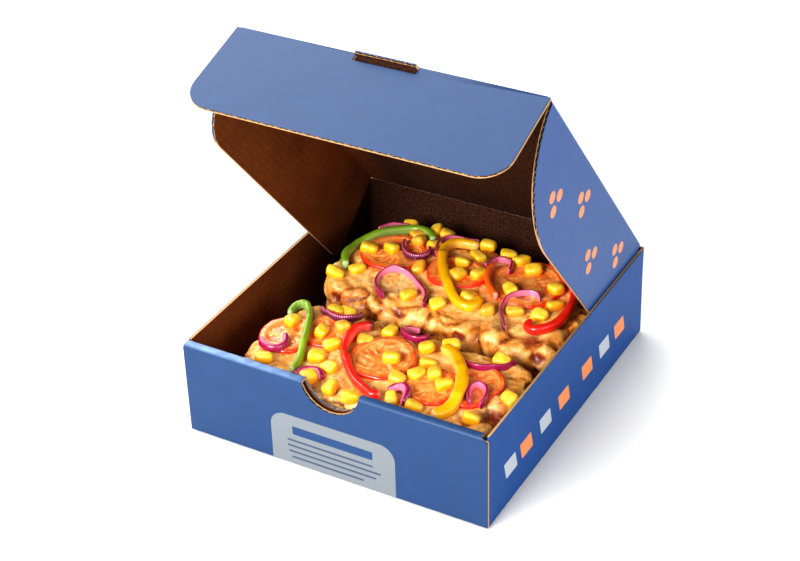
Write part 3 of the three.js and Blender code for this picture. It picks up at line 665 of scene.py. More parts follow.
def mesh_of(name, points, faces, materials, values=None):
    """A smooth closed mesh from points in millimetres, with its faces pointing out."""
    mesh = bpy.data.meshes.new(name)
    mesh.from_pydata((np.asarray(points) * MM).tolist(), [], faces)
    worker = bmesh.new()
    worker.from_mesh(mesh)
    bmesh.ops.recalc_face_normals(worker, faces=worker.faces)
    worker.to_mesh(mesh)
    worker.free()
    mesh.shade_smooth()
    for key, numbers in (values or {}).items():
        layer = mesh.attributes.new(key, "FLOAT", "POINT")
        layer.data.foreach_set("value", np.asarray(numbers, np.float32))
    for material in materials:
        mesh.materials.append(material)
    return mesh


def skin(rings):
    """Points and faces of a closed skin over rings, with a fan over each end."""
    count, sides = rings.shape[:2]
    index = np.arange(count * sides).reshape(count, sides)
    here, beside = index[:-1], np.roll(index[:-1], -1, axis=1)
    above, across = index[1:], np.roll(index[1:], -1, axis=1)
    faces = np.stack([here, beside, across, above], axis=-1).reshape(-1, 4).tolist()
    centres = np.stack([rings[0].mean(axis=0), rings[-1].mean(axis=0)])
    for centre, ring in ((count * sides, index[0][::-1]), (count * sides + 1, index[-1])):
        faces += [[int(a), int(b), centre] for a, b in zip(ring, np.roll(ring, -1))]
    return np.vstack([rings.reshape(-1, 3), centres]), faces


def grid_normals(rings):
    """The outward direction at each point of rings that run round a line upwards."""
    around = np.roll(rings, -1, axis=1) - np.roll(rings, 1, axis=1)
    upward = np.gradient(rings, axis=0)
    normals = np.cross(around, upward)
    return normals / np.maximum(np.linalg.norm(normals, axis=2, keepdims=True), 1e-9)


# -------------------------------------------------------------------- folded board

CUT, CREASE, OPEN = "cut", "crease", "open"
# HOLLOW is the bare inside of the hollow front wall, painted dark as shade.
PRINTED, BARE, EDGE, SIDE_PRINT, LABEL, HOLLOW = 0, 1, 2, 3, 4, 5
LEVELS = 10  # steps across a cut edge
PRINTED_LEVELS = 3  # how many of those steps the printed paper covers
CUT_STEP = 0.4
PRESSED = 0.24  # how deep the cutting die rounds the printed side
SUPPORT = 0.5  # flat margin beside a fold, so that the flat stays flat
FLUTE_RISE = 0.42  # how far the fluted layer swings to each side
WALL_GAP = 0.05  # between a side wall's ends and the walls across them
SEAT_DROP = 2.6  # how much lower the left wall is cut under the roll
SEAT_GAP = 0.1  # between the roll and the step behind it


class Board:
    """A piece of corrugated board being folded from flat sheets.

    A sheet's outline is a list of (across, along, kind): across and along the flutes
    in millimetres, anticlockwise, and what the edge that starts there is.
    """

    def __init__(self, box):
        self.thickness = box.board / MM
        self.pitch = box.flute_pitch / MM
        self.depth = box.flute_depth / MM
        self.work = bmesh.new()
        self.sheet = self.work.loops.layers.uv.new("sheet")
        self.pocket = self.work.verts.layers.float.new("pocket")

    def add_sheet(self, outline, place, folds=(), printed=PRINTED, bare=BARE):
        """Folds one flat sheet. place(across, along, inward) gives its points in
        space, and folds are the lines ("across" or "along", value) it bends at."""
        points, kinds = self._divide(outline, folds)
        outward = self._outward(points)
        rings = []
        for level in range(LEVELS + 1):
            inward = self.thickness * (1 - math.cos(math.pi * level / LEVELS)) / 2
            ring = []
            for i, (point, kind) in enumerate(zip(points, kinds)):
                pair = {kind, kinds[i - 1]}
                shift, open_share = self._edge_shift(point, outward[i], pair, inward)
                at = point + outward[i] * shift
                vert = self.work.verts.new((at[0], at[1], inward))
                vert[self.pocket] = open_share
                ring.append(vert)
            rings.append(ring)
        paler_front = []
        for ring, material in ((rings[0], printed), (rings[-1], bare)):
            face = self.work.faces.new(ring)
            face.material_index = material
            paler_front += self._split(face, folds)
        for level, (lower, upper) in enumerate(zip(rings[:-1], rings[1:])):
            shown = printed if level < PRINTED_LEVELS else EDGE
            for i, kind in enumerate(kinds):
                if kind == OPEN:
                    continue
                k = (i + 1) % len(points)
                face = self.work.faces.new((lower[i], lower[k], upper[k], upper[i]))
                face.material_index = shown if kind == CUT else printed
                paler_front.append(face)
        self._lay(paler_front, place)
        for ring in (rings[0], rings[-1]):
            for i, kind in enumerate(kinds):
                edge = self.work.edges.get((ring[i], ring[(i + 1) % len(ring)]))
                if edge and kind == CUT:
                    edge.smooth = False

    def _divide(self, outline, folds):
        points, kinds = [], []
        for start, end in zip(outline, outline[1:] + outline[:1]):
            a, b = np.array(start[:2], float), np.array(end[:2], float)
            shares = {0.0}
            for axis, value in folds:
                k = 0 if axis == "across" else 1
                if min(a[k], b[k]) + 1e-6 < value < max(a[k], b[k]) - 1e-6:
                    shares.add((value - a[k]) / (b[k] - a[k]))
            pieces = math.ceil(abs(b[0] - a[0]) / CUT_STEP) if start[2] == CUT else 1
            shares.update(step / pieces for step in range(1, pieces))
            for share in sorted(shares):
                at = a + (b - a) * share
                if not points or np.linalg.norm(at - points[-1]) > 0.02:
                    points.append(at)
                    kinds.append(start[2])
        return points, kinds

    @staticmethod
    def _outward(points):
        whole = np.array(points)
        along = np.roll(whole, -1, axis=0) - np.roll(whole, 1, axis=0)
        normal = np.stack([along[:, 1], -along[:, 0]], axis=1)
        return normal / np.maximum(np.linalg.norm(normal, axis=1, keepdims=True), 1e-9)

    def _edge_shift(self, point, outward, kinds, inward):
        """How far an edge point stands out, and how open the flute is there."""
        radius = self.thickness / 2
        if kinds == {CREASE}:
            return math.sqrt(max(0.0, radius**2 - (inward - radius) ** 2)), 0.0
        if kinds != {CUT}:
            return 0.0, 0.0
        if inward < PRESSED:
            return -0.8 * PRESSED * (1 - inward / PRESSED) ** 2, 0.0
        if inward > self.thickness - PRESSED:
            return 0.0, 0.0
        wave = radius + FLUTE_RISE * math.cos(2 * math.pi * point[0] / self.pitch)
        crossing = ease(abs(outward[1]), 0.1, 0.45)
        share = float(ease(abs(inward - wave), 0.05, 0.18) * crossing)
        return -self.depth * share, share

    def _split(self, face, folds):
        geometry = [face, *face.edges, *face.verts]
        for axis, value in folds:
            normal = (1, 0, 0) if axis == "across" else (0, 1, 0)
            where = tuple(value * n for n in normal)
            cut = bmesh.ops.bisect_plane(
                self.work, geom=geometry, dist=1e-4, plane_co=where, plane_no=normal
            )
            geometry = cut["geom"]
        return [g for g in geometry if isinstance(g, bmesh.types.BMFace)]

    def _lay(self, faces, place):
        for face in faces:
            face.smooth = True
            for loop in face.loops:
                loop[self.sheet].uv = (loop.vert.co.x * MM, loop.vert.co.y * MM)
        done = set()
        for face in faces:
            for vert in face.verts:
                if vert in done:
                    continue
                done.add(vert)
                vert.co = Vector(place(*vert.co)) * MM

    def make(self, name, materials):
        bmesh.ops.remove_doubles(self.work, verts=self.work.verts, dist=1e-7)
        bmesh.ops.recalc_face_normals(self.work, faces=self.work.faces)
        mesh = bpy.data.meshes.new(name)
        self.work.to_mesh(mesh)
        self.work.free()
        for material in materials:
            mesh.materials.append(material)
        return mesh


def fold_rows(axis, start, end, rows=6):
    """The lines of one fold from start to end, with a flat margin on both sides."""
    side = math.copysign(SUPPORT, end - start)
    values = [start - side, *np.linspace(start, end, rows + 1), end + side]
    return [(axis, float(v)) for v in values]


class FoldedLine:
    """A line of flat stretches and quarter folds in a plane, along the printed side."""

    def __init__(self, start, heading, side, radius, flats):
        self.side, self.radius = side, radius
        self.parts = []
        at, angle, reach = np.array(start, float), heading, 0.0
        for number, flat in enumerate(flats):
            if number:
                self.parts.append((reach, at, angle, True))
                centre = at + radius * self._inward(angle)
                angle += side * math.pi / 2
                at = centre - radius * self._inward(angle)
                reach += radius * math.pi / 2
            self.parts.append((reach, at, angle, False))
            at = at + flat * np.array([math.cos(angle), math.sin(angle)])
            reach += flat
        self.length = reach

    def _inward(self, angle):
        return self.side * np.array([-math.sin(angle), math.cos(angle)])

    def point(self, reach, inward):
        start, at, angle, fold = [p for p in self.parts if p[0] <= reach + 1e-6][-1]
        run = reach - start
        if fold:
            centre = at + self.radius * self._inward(angle)
            turned = self._inward(angle + self.side * run / self.radius)
            return centre - (self.radius - inward) * turned
        forward = np.array([math.cos(angle), math.sin(angle)])
        return at + run * forward + inward * self._inward(angle)

    def folds(self, axis):
        quarter = self.radius * math.pi / 2
        starts = [p[0] for p in self.parts if p[3]]
        return [row for start in starts for row in fold_rows(axis, start, start + quarter)]


def rectangle(across, along, kinds):
    """An outline with the kinds of its first-along, far-across, far-along and near edge."""
    (a0, a1), (b0, b1) = across, along
    corners = [(a0, b0), (a1, b0), (a1, b1), (a0, b1)]
    return [(*corner, kind) for corner, kind in zip(corners, kinds)]


def fold_front_wall(board, box):
    """The front wall, rolled over into a hollow one, with the thumb notch cut in it.
    It is folded in two sheets that meet along the top of the roll."""
    radius = box.fold_radius / MM
    half = board.thickness / 2
    front = -TRAY_HALF_DEPTH
    rise = WALL_TOP - radius - half
    top_flat = FRONT_WALL_DEPTH - 2 * radius
    drop = WALL_TOP - radius - SLICE_FLOOR
    line = FoldedLine((front, half), math.pi / 2, -1, radius, (rise, top_flat, drop))
    quarter = radius * math.pi / 2
    roll_start = rise + quarter
    middle = roll_start + top_flat / 2
    roll_end = middle + top_flat / 2 + quarter

    def place(x, reach, inward):
        y, z = line.point(reach, inward)
        return x, y, z

    folds = line.folds("along") + [("along", SUPPORT)]
    depth = NOTCH_CENTRE_Z - (half + rise)
    mouth = math.sqrt(NOTCH_RADIUS**2 - depth**2)
    reach_below = math.degrees(math.asin(depth / NOTCH_RADIUS))
    centre = NOTCH_CENTRE_Z - half
    outer_arc = arc((0, centre), NOTCH_RADIUS, -reach_below, -180 + reach_below)
    slope_top = rise - 0.6
    outer = [(-TRAY_HALF_WIDTH, 0, CREASE), (TRAY_HALF_WIDTH, 0, CUT)]
    outer += [(TRAY_HALF_WIDTH, slope_top, CUT), (ROLL_RIGHT, roll_start, CUT)]
    outer += [(ROLL_RIGHT, middle, OPEN), (mouth, middle, CUT)]
    outer += [(x, z, CUT) for x, z in outer_arc]
    outer += [(-mouth, middle, OPEN), (ROLL_LEFT, middle, CUT)]
    outer += [(ROLL_LEFT, roll_start, CUT), (-TRAY_HALF_WIDTH, slope_top, CUT)]
    board.add_sheet(outer, place, [f for f in folds if f[1] < middle], LABEL, HOLLOW)

    # The inner wall hangs the other way up: it starts at the roll and ends low down.
    inner_centre = roll_end + (WALL_TOP - radius) - NOTCH_CENTRE_Z
    inner_arc = arc((0, inner_centre), NOTCH_RADIUS, 180 - reach_below, reach_below)
    inner = [(ROLL_LEFT, middle, OPEN), (-mouth, middle, CUT)]
    inner += [(x, z, CUT) for x, z in inner_arc]
    inner += [(mouth, middle, OPEN), (ROLL_RIGHT, middle, CUT)]
    inner += [(ROLL_RIGHT, line.length, CUT), (-ROLL_RIGHT, line.length, CUT)]
    inner += [(-ROLL_RIGHT, roll_end + 1.2, CUT), (ROLL_LEFT, roll_end - 1.2, CUT)]
    board.add_sheet(inner, place, [f for f in folds if f[1] > middle], LABEL, HOLLOW)


def fold_tray(box):
    """Floor, walls and corner flaps of the tray."""
    board = Board(box)
    thick = board.thickness
    half = thick / 2
    right, back = TRAY_HALF_WIDTH, TRAY_HALF_DEPTH
    support = [("along", half + SUPPORT), ("across", half + SUPPORT)]

    floor = rectangle((-right + thick, right - thick), (-back + thick, back - thick), [CUT] * 4)
    board.add_sheet(floor, lambda x, y, n: (x, y, n))

    # A side wall's flutes run from front to back, and its front end is folded round.
    ends = (-back + thick + half + WALL_GAP, back - thick - WALL_GAP)
    side_wall = rectangle((half, WALL_TOP), ends, (CREASE, CUT, CUT, CREASE))
    rows = [("across", half + SUPPORT), ("along", ends[0] + SUPPORT)]
    board.add_sheet(side_wall, lambda z, y, n: (right - n, y, z), rows, SIDE_PRINT)

    # The left one is cut lower at the front, where the roll lies over it.
    seat = (WALL_TOP - SEAT_DROP, -back + FRONT_WALL_DEPTH + SEAT_GAP)
    step = [(seat[0], ends[0], CUT), (*seat, CUT), (WALL_TOP, seat[1], CUT)]
    side_wall = [side_wall[0], *step, *side_wall[2:]]
    board.add_sheet(side_wall, lambda z, y, n: (-right + n, y, z), rows, SIDE_PRINT)

    # The back wall is folded round at its sides, and reaches up to the lid's crease.
    back_top = LID_CREASE[1] - half - CREASE_GAP
    back_wall = rectangle((-right + half, right - half), (half, back_top), (CREASE, CREASE, CUT, CREASE))
    rows = [("along", half + SUPPORT), ("across", half - right + SUPPORT), ("across", right - half - SUPPORT)]
    board.add_sheet(back_wall, lambda x, z, n: (x, back - n, z), rows)

    fold_front_wall(board, box)
    flap_y = -back + FRONT_WALL_DEPTH / 2 - half
    for side in (-1, 1):
        across = sorted((side * (right - half), side * (right - thick - CORNER_FLAP_LENGTH)))
        flap = rectangle(across, (SLICE_FLOOR, CORNER_FLAP_TOP), [CUT] * 4)
        board.add_sheet(flap, lambda x, z, n: (x, flap_y + n, z))
    return board


def lid_section(across, inward, radius, half):
    """Cross-section of the lid: the panel, and an ear folded down at each side."""
    flat = LID_HALF_WIDTH - radius
    side = math.copysign(1, across)
    beyond = abs(across) - flat
    quarter = radius * math.pi / 2
    if beyond <= 0:
        return across, half - inward
    if beyond < quarter:
        turned = beyond / radius
        x = flat + (radius - inward) * math.sin(turned)
        return side * x, half - radius + (radius - inward) * math.cos(turned)
    return side * (LID_HALF_WIDTH - inward), half - radius - (beyond - quarter)


def fold_lid(box):
    """The lid's panel with its pull tab, and the two ears folded down from it."""
    board = Board(box)
    radius = box.fold_radius / MM
    half = board.thickness / 2
    flat = LID_HALF_WIDTH - radius
    quarter = radius * math.pi / 2
    fold_end = flat + quarter
    start_down = radius - half

    def across_at(down):
        """Place across the sheet of a point on an ear, from how far down it is."""
        return fold_end + down - start_down

    def ear_back(side):
        corner_down = EAR_DEPTH - EAR_BACK_RADIUS
        corner_along = EAR_BACK + EAR_BACK_RADIUS
        turn = arc((across_at(corner_down), corner_along), EAR_BACK_RADIUS, -90, 0)
        points = [(fold_end, EAR_BACK), *turn]
        return [(side * a, b, CUT) for a, b in points]

    def round_front():
        reach = RIGHT_EAR_FRONT - RIGHT_EAR_CURVE_START
        first = math.degrees(math.asin(start_down / EAR_DEPTH))
        centre = (across_at(0), RIGHT_EAR_CURVE_START)
        points = arc(centre, (EAR_DEPTH, reach), 0, 90 - first)
        return [(a, b, CUT) for a, b in points]

    def square_front():
        corner_reach = LEFT_EAR_FRONT - LEFT_EAR_RADIUS
        corner_down = EAR_DEPTH - LEFT_EAR_RADIUS
        turn = math.degrees(math.asin(corner_down / corner_reach))
        first = math.degrees(math.asin(EAR_RELIEF_DOWN / LEFT_EAR_FRONT))
        corner = (across_at(corner_down), corner_reach * math.cos(math.radians(turn)))
        sweep = arc((across_at(0), 0), LEFT_EAR_FRONT, 90 - first, 90 - turn)
        relief = [(across_at(down), EAR_RELIEF) for down in (start_down, EAR_RELIEF_DOWN)]
        points = [*relief, *sweep, *arc(corner, LEFT_EAR_RADIUS, 90 - turn, 0)]
        return [(-a, b, CUT) for a, b in points]

    tab_end = LID_LENGTH + TAB_LENGTH
    outline = [(-flat, 0, CREASE), (flat, 0, CUT), *ear_back(1), *round_front()]
    outline += [(flat, LID_LENGTH, CREASE), (TAB_HALF_WIDTH, LID_LENGTH, CUT)]
    outline += [(TAB_HALF_WIDTH, tab_end - TAB_CORNER[1], CUT)]
    outline += [(TAB_HALF_WIDTH - TAB_CORNER[0], tab_end, CUT)]
    outline += [(-TAB_HALF_WIDTH, tab_end, CUT), (-TAB_HALF_WIDTH, LID_LENGTH, CREASE)]
    outline += [(-flat, LID_LENGTH, CUT), *square_front(), *ear_back(-1)[::-1]]

    sin, cos = math.sin(LID_OPEN), math.cos(LID_OPEN)

    def place(across, along, inward):
        x, up = lid_section(across, inward, radius, half)
        y = LID_CREASE[0] - along * cos + up * sin
        return x, y, LID_CREASE[1] + along * sin + up * cos

    folds = fold_rows("across", flat, fold_end) + fold_rows("across", -flat, -fold_end)
    folds += [("along", SUPPORT), ("along", LID_LENGTH - SUPPORT)]
    board.add_sheet(outline, place, folds)
    return board


def fold_flap(box):
    """The flap that hangs forward from the lid's front crease."""
    board = Board(box)
    half = board.thickness / 2
    bottom = LID_HALF_WIDTH + FLAP_FLARE
    recess = TAB_HALF_WIDTH + TAB_CLEARANCE
    recess_depth = TAB_LENGTH + TAB_CLEARANCE
    corner = (bottom - FLAP_CORNER_RADIUS, FLAP_DEPTH - FLAP_CORNER_RADIUS)
    outline = [(-LID_HALF_WIDTH, 0, CREASE), (-recess, 0, CUT), (-recess, recess_depth, CUT)]
    outline += [(recess, recess_depth, CUT), (recess, 0, CREASE), (LID_HALF_WIDTH, 0, CUT)]
    outline += [(x, d, CUT) for x, d in arc(corner, FLAP_CORNER_RADIUS, 0, 90)]
    mirrored = arc((-corner[0], corner[1]), FLAP_CORNER_RADIUS, 90, 180)
    outline += [(x, d, CUT) for x, d in mirrored]

    lean = LID_OPEN + FLAP_OPEN
    crease_y = LID_CREASE[0] - LID_LENGTH * math.cos(LID_OPEN)
    crease_z = LID_CREASE[1] + LID_LENGTH * math.sin(LID_OPEN)
    down = (-math.sin(lean), -math.cos(lean))
    inner = (math.cos(lean), -math.sin(lean))

    def place(x, depth, inward):
        y = crease_y + depth * down[0] + (inward - half) * inner[0]
        z = crease_z + depth * down[1] + (inward - half) * inner[1]
        return x, y, z

    board.add_sheet(outline, place, [("along", SUPPORT)])
    return board


# -------------------------------------------------------------------- slice shapes


def lumps(x, y):
    """Gentle rise and fall of the baked cheese."""
    broad = np.sin(0.21 * x + 0.9 * np.sin(0.13 * y))
    cross = np.sin(0.26 * y + 1.1 * np.sin(0.17 * x) + 1.7)
    fine = np.sin(0.47 * x - 0.33 * y + 0.6)
    return 0.5 * broad + 0.4 * cross + 0.2 * fine


def crags(x, y, z):
    """Crags of the browned edge."""
    round_ones = np.sin(0.31 * x + 0.37 * y + 0.4 * z)
    fine = np.sin(0.53 * x - 0.45 * y + 0.7 * z + 2)
    return 0.55 * round_ones + 0.4 * fine


def edge_points(slice_name, count):
    return spaced(smooth_curve(SLICES[slice_name]["outline"], closed=True), count, closed=True)


EDGES = {name: edge_points(name, OUTLINE_POINTS) for name in SLICES}


def to_edge(slice_name, x, y):
    """Distance from a place on a slice to its edge."""
    edge = EDGES[slice_name]
    gap = np.hypot(np.subtract.outer(x, edge[:, 0]), np.subtract.outer(y, edge[:, 1]))
    return gap.min(axis=-1)


def cheese_height(slice_name, x, y):
    roll = np.maximum(0, 1 - to_edge(slice_name, x, y) / EDGE_ROLL)
    return SLICES[slice_name]["top"] + lumps(x, y) - EDGE_DROP * roll * roll


def outline_ring(slice_name, edge, scale, height_at, craggy):
    """The slice's edge drawn in towards its spine: scale 1 is the edge itself."""
    low, high, spine_y = SLICES[slice_name]["spine"]
    spine = np.stack([np.clip(edge[:, 0], low, high), np.full(len(edge), spine_y)], axis=1)
    out = edge - spine
    reach = scale * np.linalg.norm(out, axis=1)
    if craggy:
        reach = reach - craggy * (0.8 + crags(edge[:, 0], edge[:, 1], height_at(*edge.T)))
    at = spine + out / np.linalg.norm(out, axis=1, keepdims=True) * reach[:, None]
    return np.column_stack([at, height_at(at[:, 0], at[:, 1])])


def level(z):
    return lambda x, y: np.full(np.shape(x), float(z))


def refined(stations, per_step):
    """Rows between given rows of numbers, along smooth curves."""
    return smooth_curve(stations, steps=per_step)


EDGE_ROUNDING = 16  # how many times the top edge of the cheese is evened out
CHEESE_SIDES = 560  # points round a slice's cheese
CROWN_RINGS = 52
DOUGH_SIDES = 420
DOUGH_SCALE = 0.93  # how far the dough's top is drawn in from the slice's edge


def cheese_rings(slice_name):
    """The cheese's rings as the frame has them, at a fine spacing."""
    edge = edge_points(slice_name, CHEESE_SIDES)
    sides = refined([(0.9, CHEESE_BOTTOM, 0), (0.93, CHEESE_BOTTOM + 0.2, 0),
                     (0.985, CHEESE_BOTTOM + 2.5, 1), (1, CHEESE_BOTTOM + 6, 1)], 6)
    rings = [outline_ring(slice_name, edge, s, level(z), c) for s, z, c in sides[1:]]

    def crown(x, y):
        return cheese_height(slice_name, x, y)

    for scale in np.linspace(0.985, 0.02, CROWN_RINGS):
        rings.append(outline_ring(slice_name, edge, scale, crown, 0))
    rings = np.array(rings)
    for _ in range(EDGE_ROUNDING):
        rings[1:-1] = (rings[:-2] + 2 * rings[1:-1] + rings[2:]) / 4
    return rings


def tomato_creep(slice_name, x, y):
    """How far the cheese climbs where it meets the rim of a tomato slice."""
    rise = np.zeros(np.shape(x))
    for _, own, cx, cy, rx, ry in TOMATOES:
        if own == slice_name:
            reach = np.hypot((x - cx) / rx, (y - cy) / ry)
            rise = np.maximum(rise, ease(reach, 0.8, 0.97) * (1 - ease(reach, 1.02, 1.3)))
    return rise


def softened(values, shape, times):
    """Values on rings, each evened out with its neighbours that many times."""
    grid = values.reshape(shape)
    for _ in range(times):
        ends = np.vstack([grid[:1], grid, grid[-1:]])
        beside = np.roll(grid, 1, axis=1) + np.roll(grid, -1, axis=1)
        grid = (2 * grid + ends[:-2] + ends[2:] + beside) / 6
    return grid.ravel()


def juice_share(slice_name, x, y):
    """1 where a tomato slice lies, and less with the distance beside it."""
    juice = np.zeros(len(x))
    for _, own, tx, ty, rx, ry in TOMATOES:
        if own == slice_name:
            juice = np.maximum(juice, 1 - ease(np.hypot((x - tx) / rx, (y - ty) / ry), 0.95, 1.45))
    return juice


def hollow_share(slice_name, points):
    """1 in the middle of a hollow torn in the cheese, and 0 outside every one."""
    x, y, z = points.T
    hollow = np.zeros(len(points))
    for own, hx, hy, hz, reach in HOLLOWS:
        if own == slice_name:
            gap = np.sqrt((x - hx) ** 2 + (y - hy) ** 2 + (1.4 * (z - hz)) ** 2)
            hollow = np.maximum(hollow, 1 - ease(gap + 1.5 * rough(points, 3, 9), 0.3 * reach, reach))
    return hollow


def cheese_mesh(slice_name, settings, material):
    """Soft melted lobes that hang over the slice's sides, flatter on its top."""
    rings = cheese_rings(slice_name)
    shape = rings.shape[:2]
    flat = rings.reshape(-1, 3)
    normals = grid_normals(rings).reshape(-1, 3)
    x, y, z = flat.T
    inner = to_edge(slice_name, x, y)
    side = np.where(z < CHEESE_BOTTOM + 6.5, 1.0, 1 - ease(inner, 1, 12))
    side = np.maximum(side, 0.6 * ease(x, 52, 66))
    slope = np.maximum(side, 1 - ease(inner, 6, 20))
    size = settings.blob_size / MM
    bent = flat + 0.3 * size * np.stack([rough(flat, 0.9 * size, k) for k in (4, 5, 6)], axis=1)
    near, second = blobs(bent * (1, 1, 0.55), size, 11)
    pillow = np.sqrt(np.clip((second - near) / 0.6, 0, 1))
    close, next_one = blobs(bent * (1, 1, 0.6), 0.5 * size, 41)
    bubble = np.sqrt(np.clip((next_one - close) / 0.6, 0, 1))
    folds = np.abs(rough(bent * (1, 1, 0.45), 0.5 * size, 14) + 0.25 * rough(flat, 4, 15))
    bead = np.sqrt(np.clip(folds / 0.5, 0, 1))
    wrinkled = ease(rough(flat, 15, 17), -0.4, 0.5)
    juice = juice_share(slice_name, x, y)
    hollow = hollow_share(slice_name, flat)
    lift = settings.blob_height / MM
    creased = np.sqrt(np.clip(np.abs(rough(bent, 5, 18)) / 0.45, 0, 1))
    move = lift * (0.6 + 0.4 * wrinkled) * (0.2 + 0.55 * slope + 0.25 * side) * (pillow - 0.68)
    move += 0.9 * (0.2 + 0.8 * slope) * wrinkled * (bead - 0.75)
    move += 0.4 * slope * (1 - 0.7 * wrinkled) * (creased - 0.75)
    move += 0.8 * (0.25 + 0.75 * slope) * (bubble - 0.68)
    move += 0.35 * rough(flat, 6, 1) + 0.1 * rough(flat, 2.6, 2)
    move += 1.2 * tomato_creep(slice_name, x, y) * (1 - side)
    move -= hollow * (2.1 + 0.7 * rough(flat, 2.4, 19))
    low = ease(z, CHEESE_BOTTOM, CHEESE_BOTTOM + 2)
    move = softened(np.clip(move, -1.8 - hollow, 0.5 + 0.8 * side) * low, shape, 2)
    moved = flat + normals * move[:, None]
    # Painted shade: these marks find where the surface lies below its neighbours, in creases and broad
    # valleys.
    crease = ease(softened(move, shape, 12) - move, 0.02, 0.3)
    valley_shade = ease(softened(move, shape, 100) - move, -0.1, 0.9)
    patches = ease(rough(flat, 13, 21) + 0.6 * rough(flat, 5, 22), -0.2, 0.9)
    spots = ease(rough(flat, 2.4, 23) + 0.5 * rough(flat, 8, 24), 0.8, 1.1)
    baked = ease(x, 50, 74)
    # Painted shade: the sides darken towards their bottom, in the gap between the slices.
    under = side * (1 - ease(z, CHEESE_BOTTOM + 1, CHEESE_BOTTOM + 8))
    # Gold from the oven in patches and at the right end, and painted shade in valleys and creases.
    golden_and_shade = slope * (0.15 + 0.8 * patches + 0.9 * valley_shade + 0.3 * crease + 0.2 * baked) + 0.2 * patches
    # Browned spots and patches, and painted shade in creases, valleys and low on the sides.
    browned_and_shade = (0.2 + 0.5 * slope) * crease * (0.2 + valley_shade) + 0.5 * spots + 0.4 * under
    browned_and_shade += 0.25 * slope * valley_shade * patches + 0.12 * baked * patches
    # Painted highlight: the crests, which stand above their neighbours, take the palest colour, and so does
    # the top.
    crest_highlight = 1 - ease(softened(move, shape, 60) - move, -0.5, 0.1)
    cream_and_highlight = 0.85 * crest_highlight * (1 - 0.6 * patches) * (1 - 0.3 * baked) + (1 - slope)
    if slice_name == "front":
        # Paler and less gold near the front edge of the front slice, on its left part.
        paler_front = ease(-y, 60, 72) * (1 - ease(x, 40, 60))
        golden_and_shade = golden_and_shade * (1 - 0.8 * paler_front)
        cream_and_highlight = np.maximum(cream_and_highlight, 0.95 * paler_front)
    values = {"golden_and_shade": golden_and_shade, "browned_and_shade": browned_and_shade, "cream_and_highlight": cream_and_highlight, "hollow": hollow}
    values["juice"] = juice * (1 - side)
    values = {key: padded(np.clip(numbers, 0, 1)) for key, numbers in values.items()}
    points, faces = skin(moved.reshape(rings.shape))
    return mesh_of("baked_cheese_" + slice_name, points, faces, [material], values)


def padded(numbers):
    """Values for a skin's rings, with those of its two end points added."""
    return np.concatenate([numbers, [numbers[0], numbers[-1]]])


def dough_mesh(slice_name, material):
    """The bread under the cheese, with open pores in its sides."""
    edge = edge_points(slice_name, DOUGH_SIDES)
    middle = (SLICE_FLOOR + DOUGH_TOP) / 2
    stations = refined([(0.9, SLICE_FLOOR, 0), (0.94, SLICE_FLOOR + 4, 1), (0.955, middle, 1),
                        (0.95, DOUGH_TOP - 4, 1), (DOUGH_SCALE, DOUGH_TOP, 0)], 9)
    rings = [outline_ring(slice_name, edge, s, level(z), c) for s, z, c in stations]
    for scale in (0.8, 0.5, 0.2):
        rings.append(outline_ring(slice_name, edge, scale * DOUGH_SCALE, level(DOUGH_TOP), 0))
    rings = np.array(rings)
    flat = rings.reshape(-1, 3)
    normals = grid_normals(rings).reshape(-1, 3)
    z = flat[:, 2]
    free = ease(z, SLICE_FLOOR + 0.2, SLICE_FLOOR + 3) * (1 - ease(z, DOUGH_TOP - 2.5, DOUGH_TOP - 0.3))
    nearest_pore = blobs(flat, 5, 31)[0]
    pores = 1 - ease(nearest_pore, 0.1, 0.32)
    move = 0.5 * rough(flat, 6, 32) + 0.3 * rough(flat, 2.2, 33) - 0.9 * pores - 0.3
    moved = flat + normals * (np.clip(move, -1.6, 0.3) * free)[:, None]
    points, faces = skin(moved.reshape(rings.shape))
    return mesh_of("baked_dough_" + slice_name, points, faces, [material], {"pores": padded(pores * free)})


def cheese_finish(slices):
    """Greasy melted cheese from pale to gold, with spots the oven darkened, painted shade in its seams and
    low hollows, painted highlight on its crests, and red where it is torn.
    """
    finish = Finish("melted_cheese", Roughness=0.45, Specular_IOR_Level=0.4, Subsurface_Weight=0.25,
                    Subsurface_Radius=(1.0, 0.55, 0.25), Subsurface_Scale=0.003,
                    Coat_Weight=0.3, Coat_Roughness=0.2)
    # Gold from the oven, and painted shade in valleys and creases.
    golden_and_shade = finish.patchy(finish.value("golden_and_shade"), 3, 6, (0.4, 0.57), (0.15, 1), 0.62)
    ground = finish.blend(golden_and_shade, slices.cheese, slices.cheese_golden)
    # Painted highlight on the crests, and paler on the top.
    cream_and_highlight = finish.patchy(finish.value("cream_and_highlight"), 4, 6, (0.4, 0.56), (0.25, 1), 0.62)
    ground = finish.blend(cream_and_highlight, ground, slices.cheese_cream)
    soaked = finish.patchy(finish.value("juice"), 4.5, 4, (0.38, 0.62), (0.1, 0.7))
    ground = finish.blend(soaked, ground, slices.juice)
    toasted = finish.ramp(finish.noise(2.6, 6, rough=0.6), 0.56, 0.66, 0.0, 0.6)
    ground = finish.blend(toasted, ground, slices.cheese_toasted)
    # Browned spots, and painted shade in creases, valleys and low on the sides.
    brown = finish.patchy(finish.value("browned_and_shade"), 2.4, 4, (0.35, 0.6), (0.4, 1))
    ground = finish.blend(brown, ground, slices.cheese_brown)
    torn = finish.patchy(finish.value("hollow"), 1.8, 3, (0.3, 0.6), (0.6, 1))
    finish.feed("Base Color", finish.blend(torn, ground, slices.sauce))
    grain = finish.relief(finish.noise(1, 3), 0.08)
    finish.feed("Normal", finish.relief(finish.noise(2.6, 5), 0.6, grain))
    return finish.material


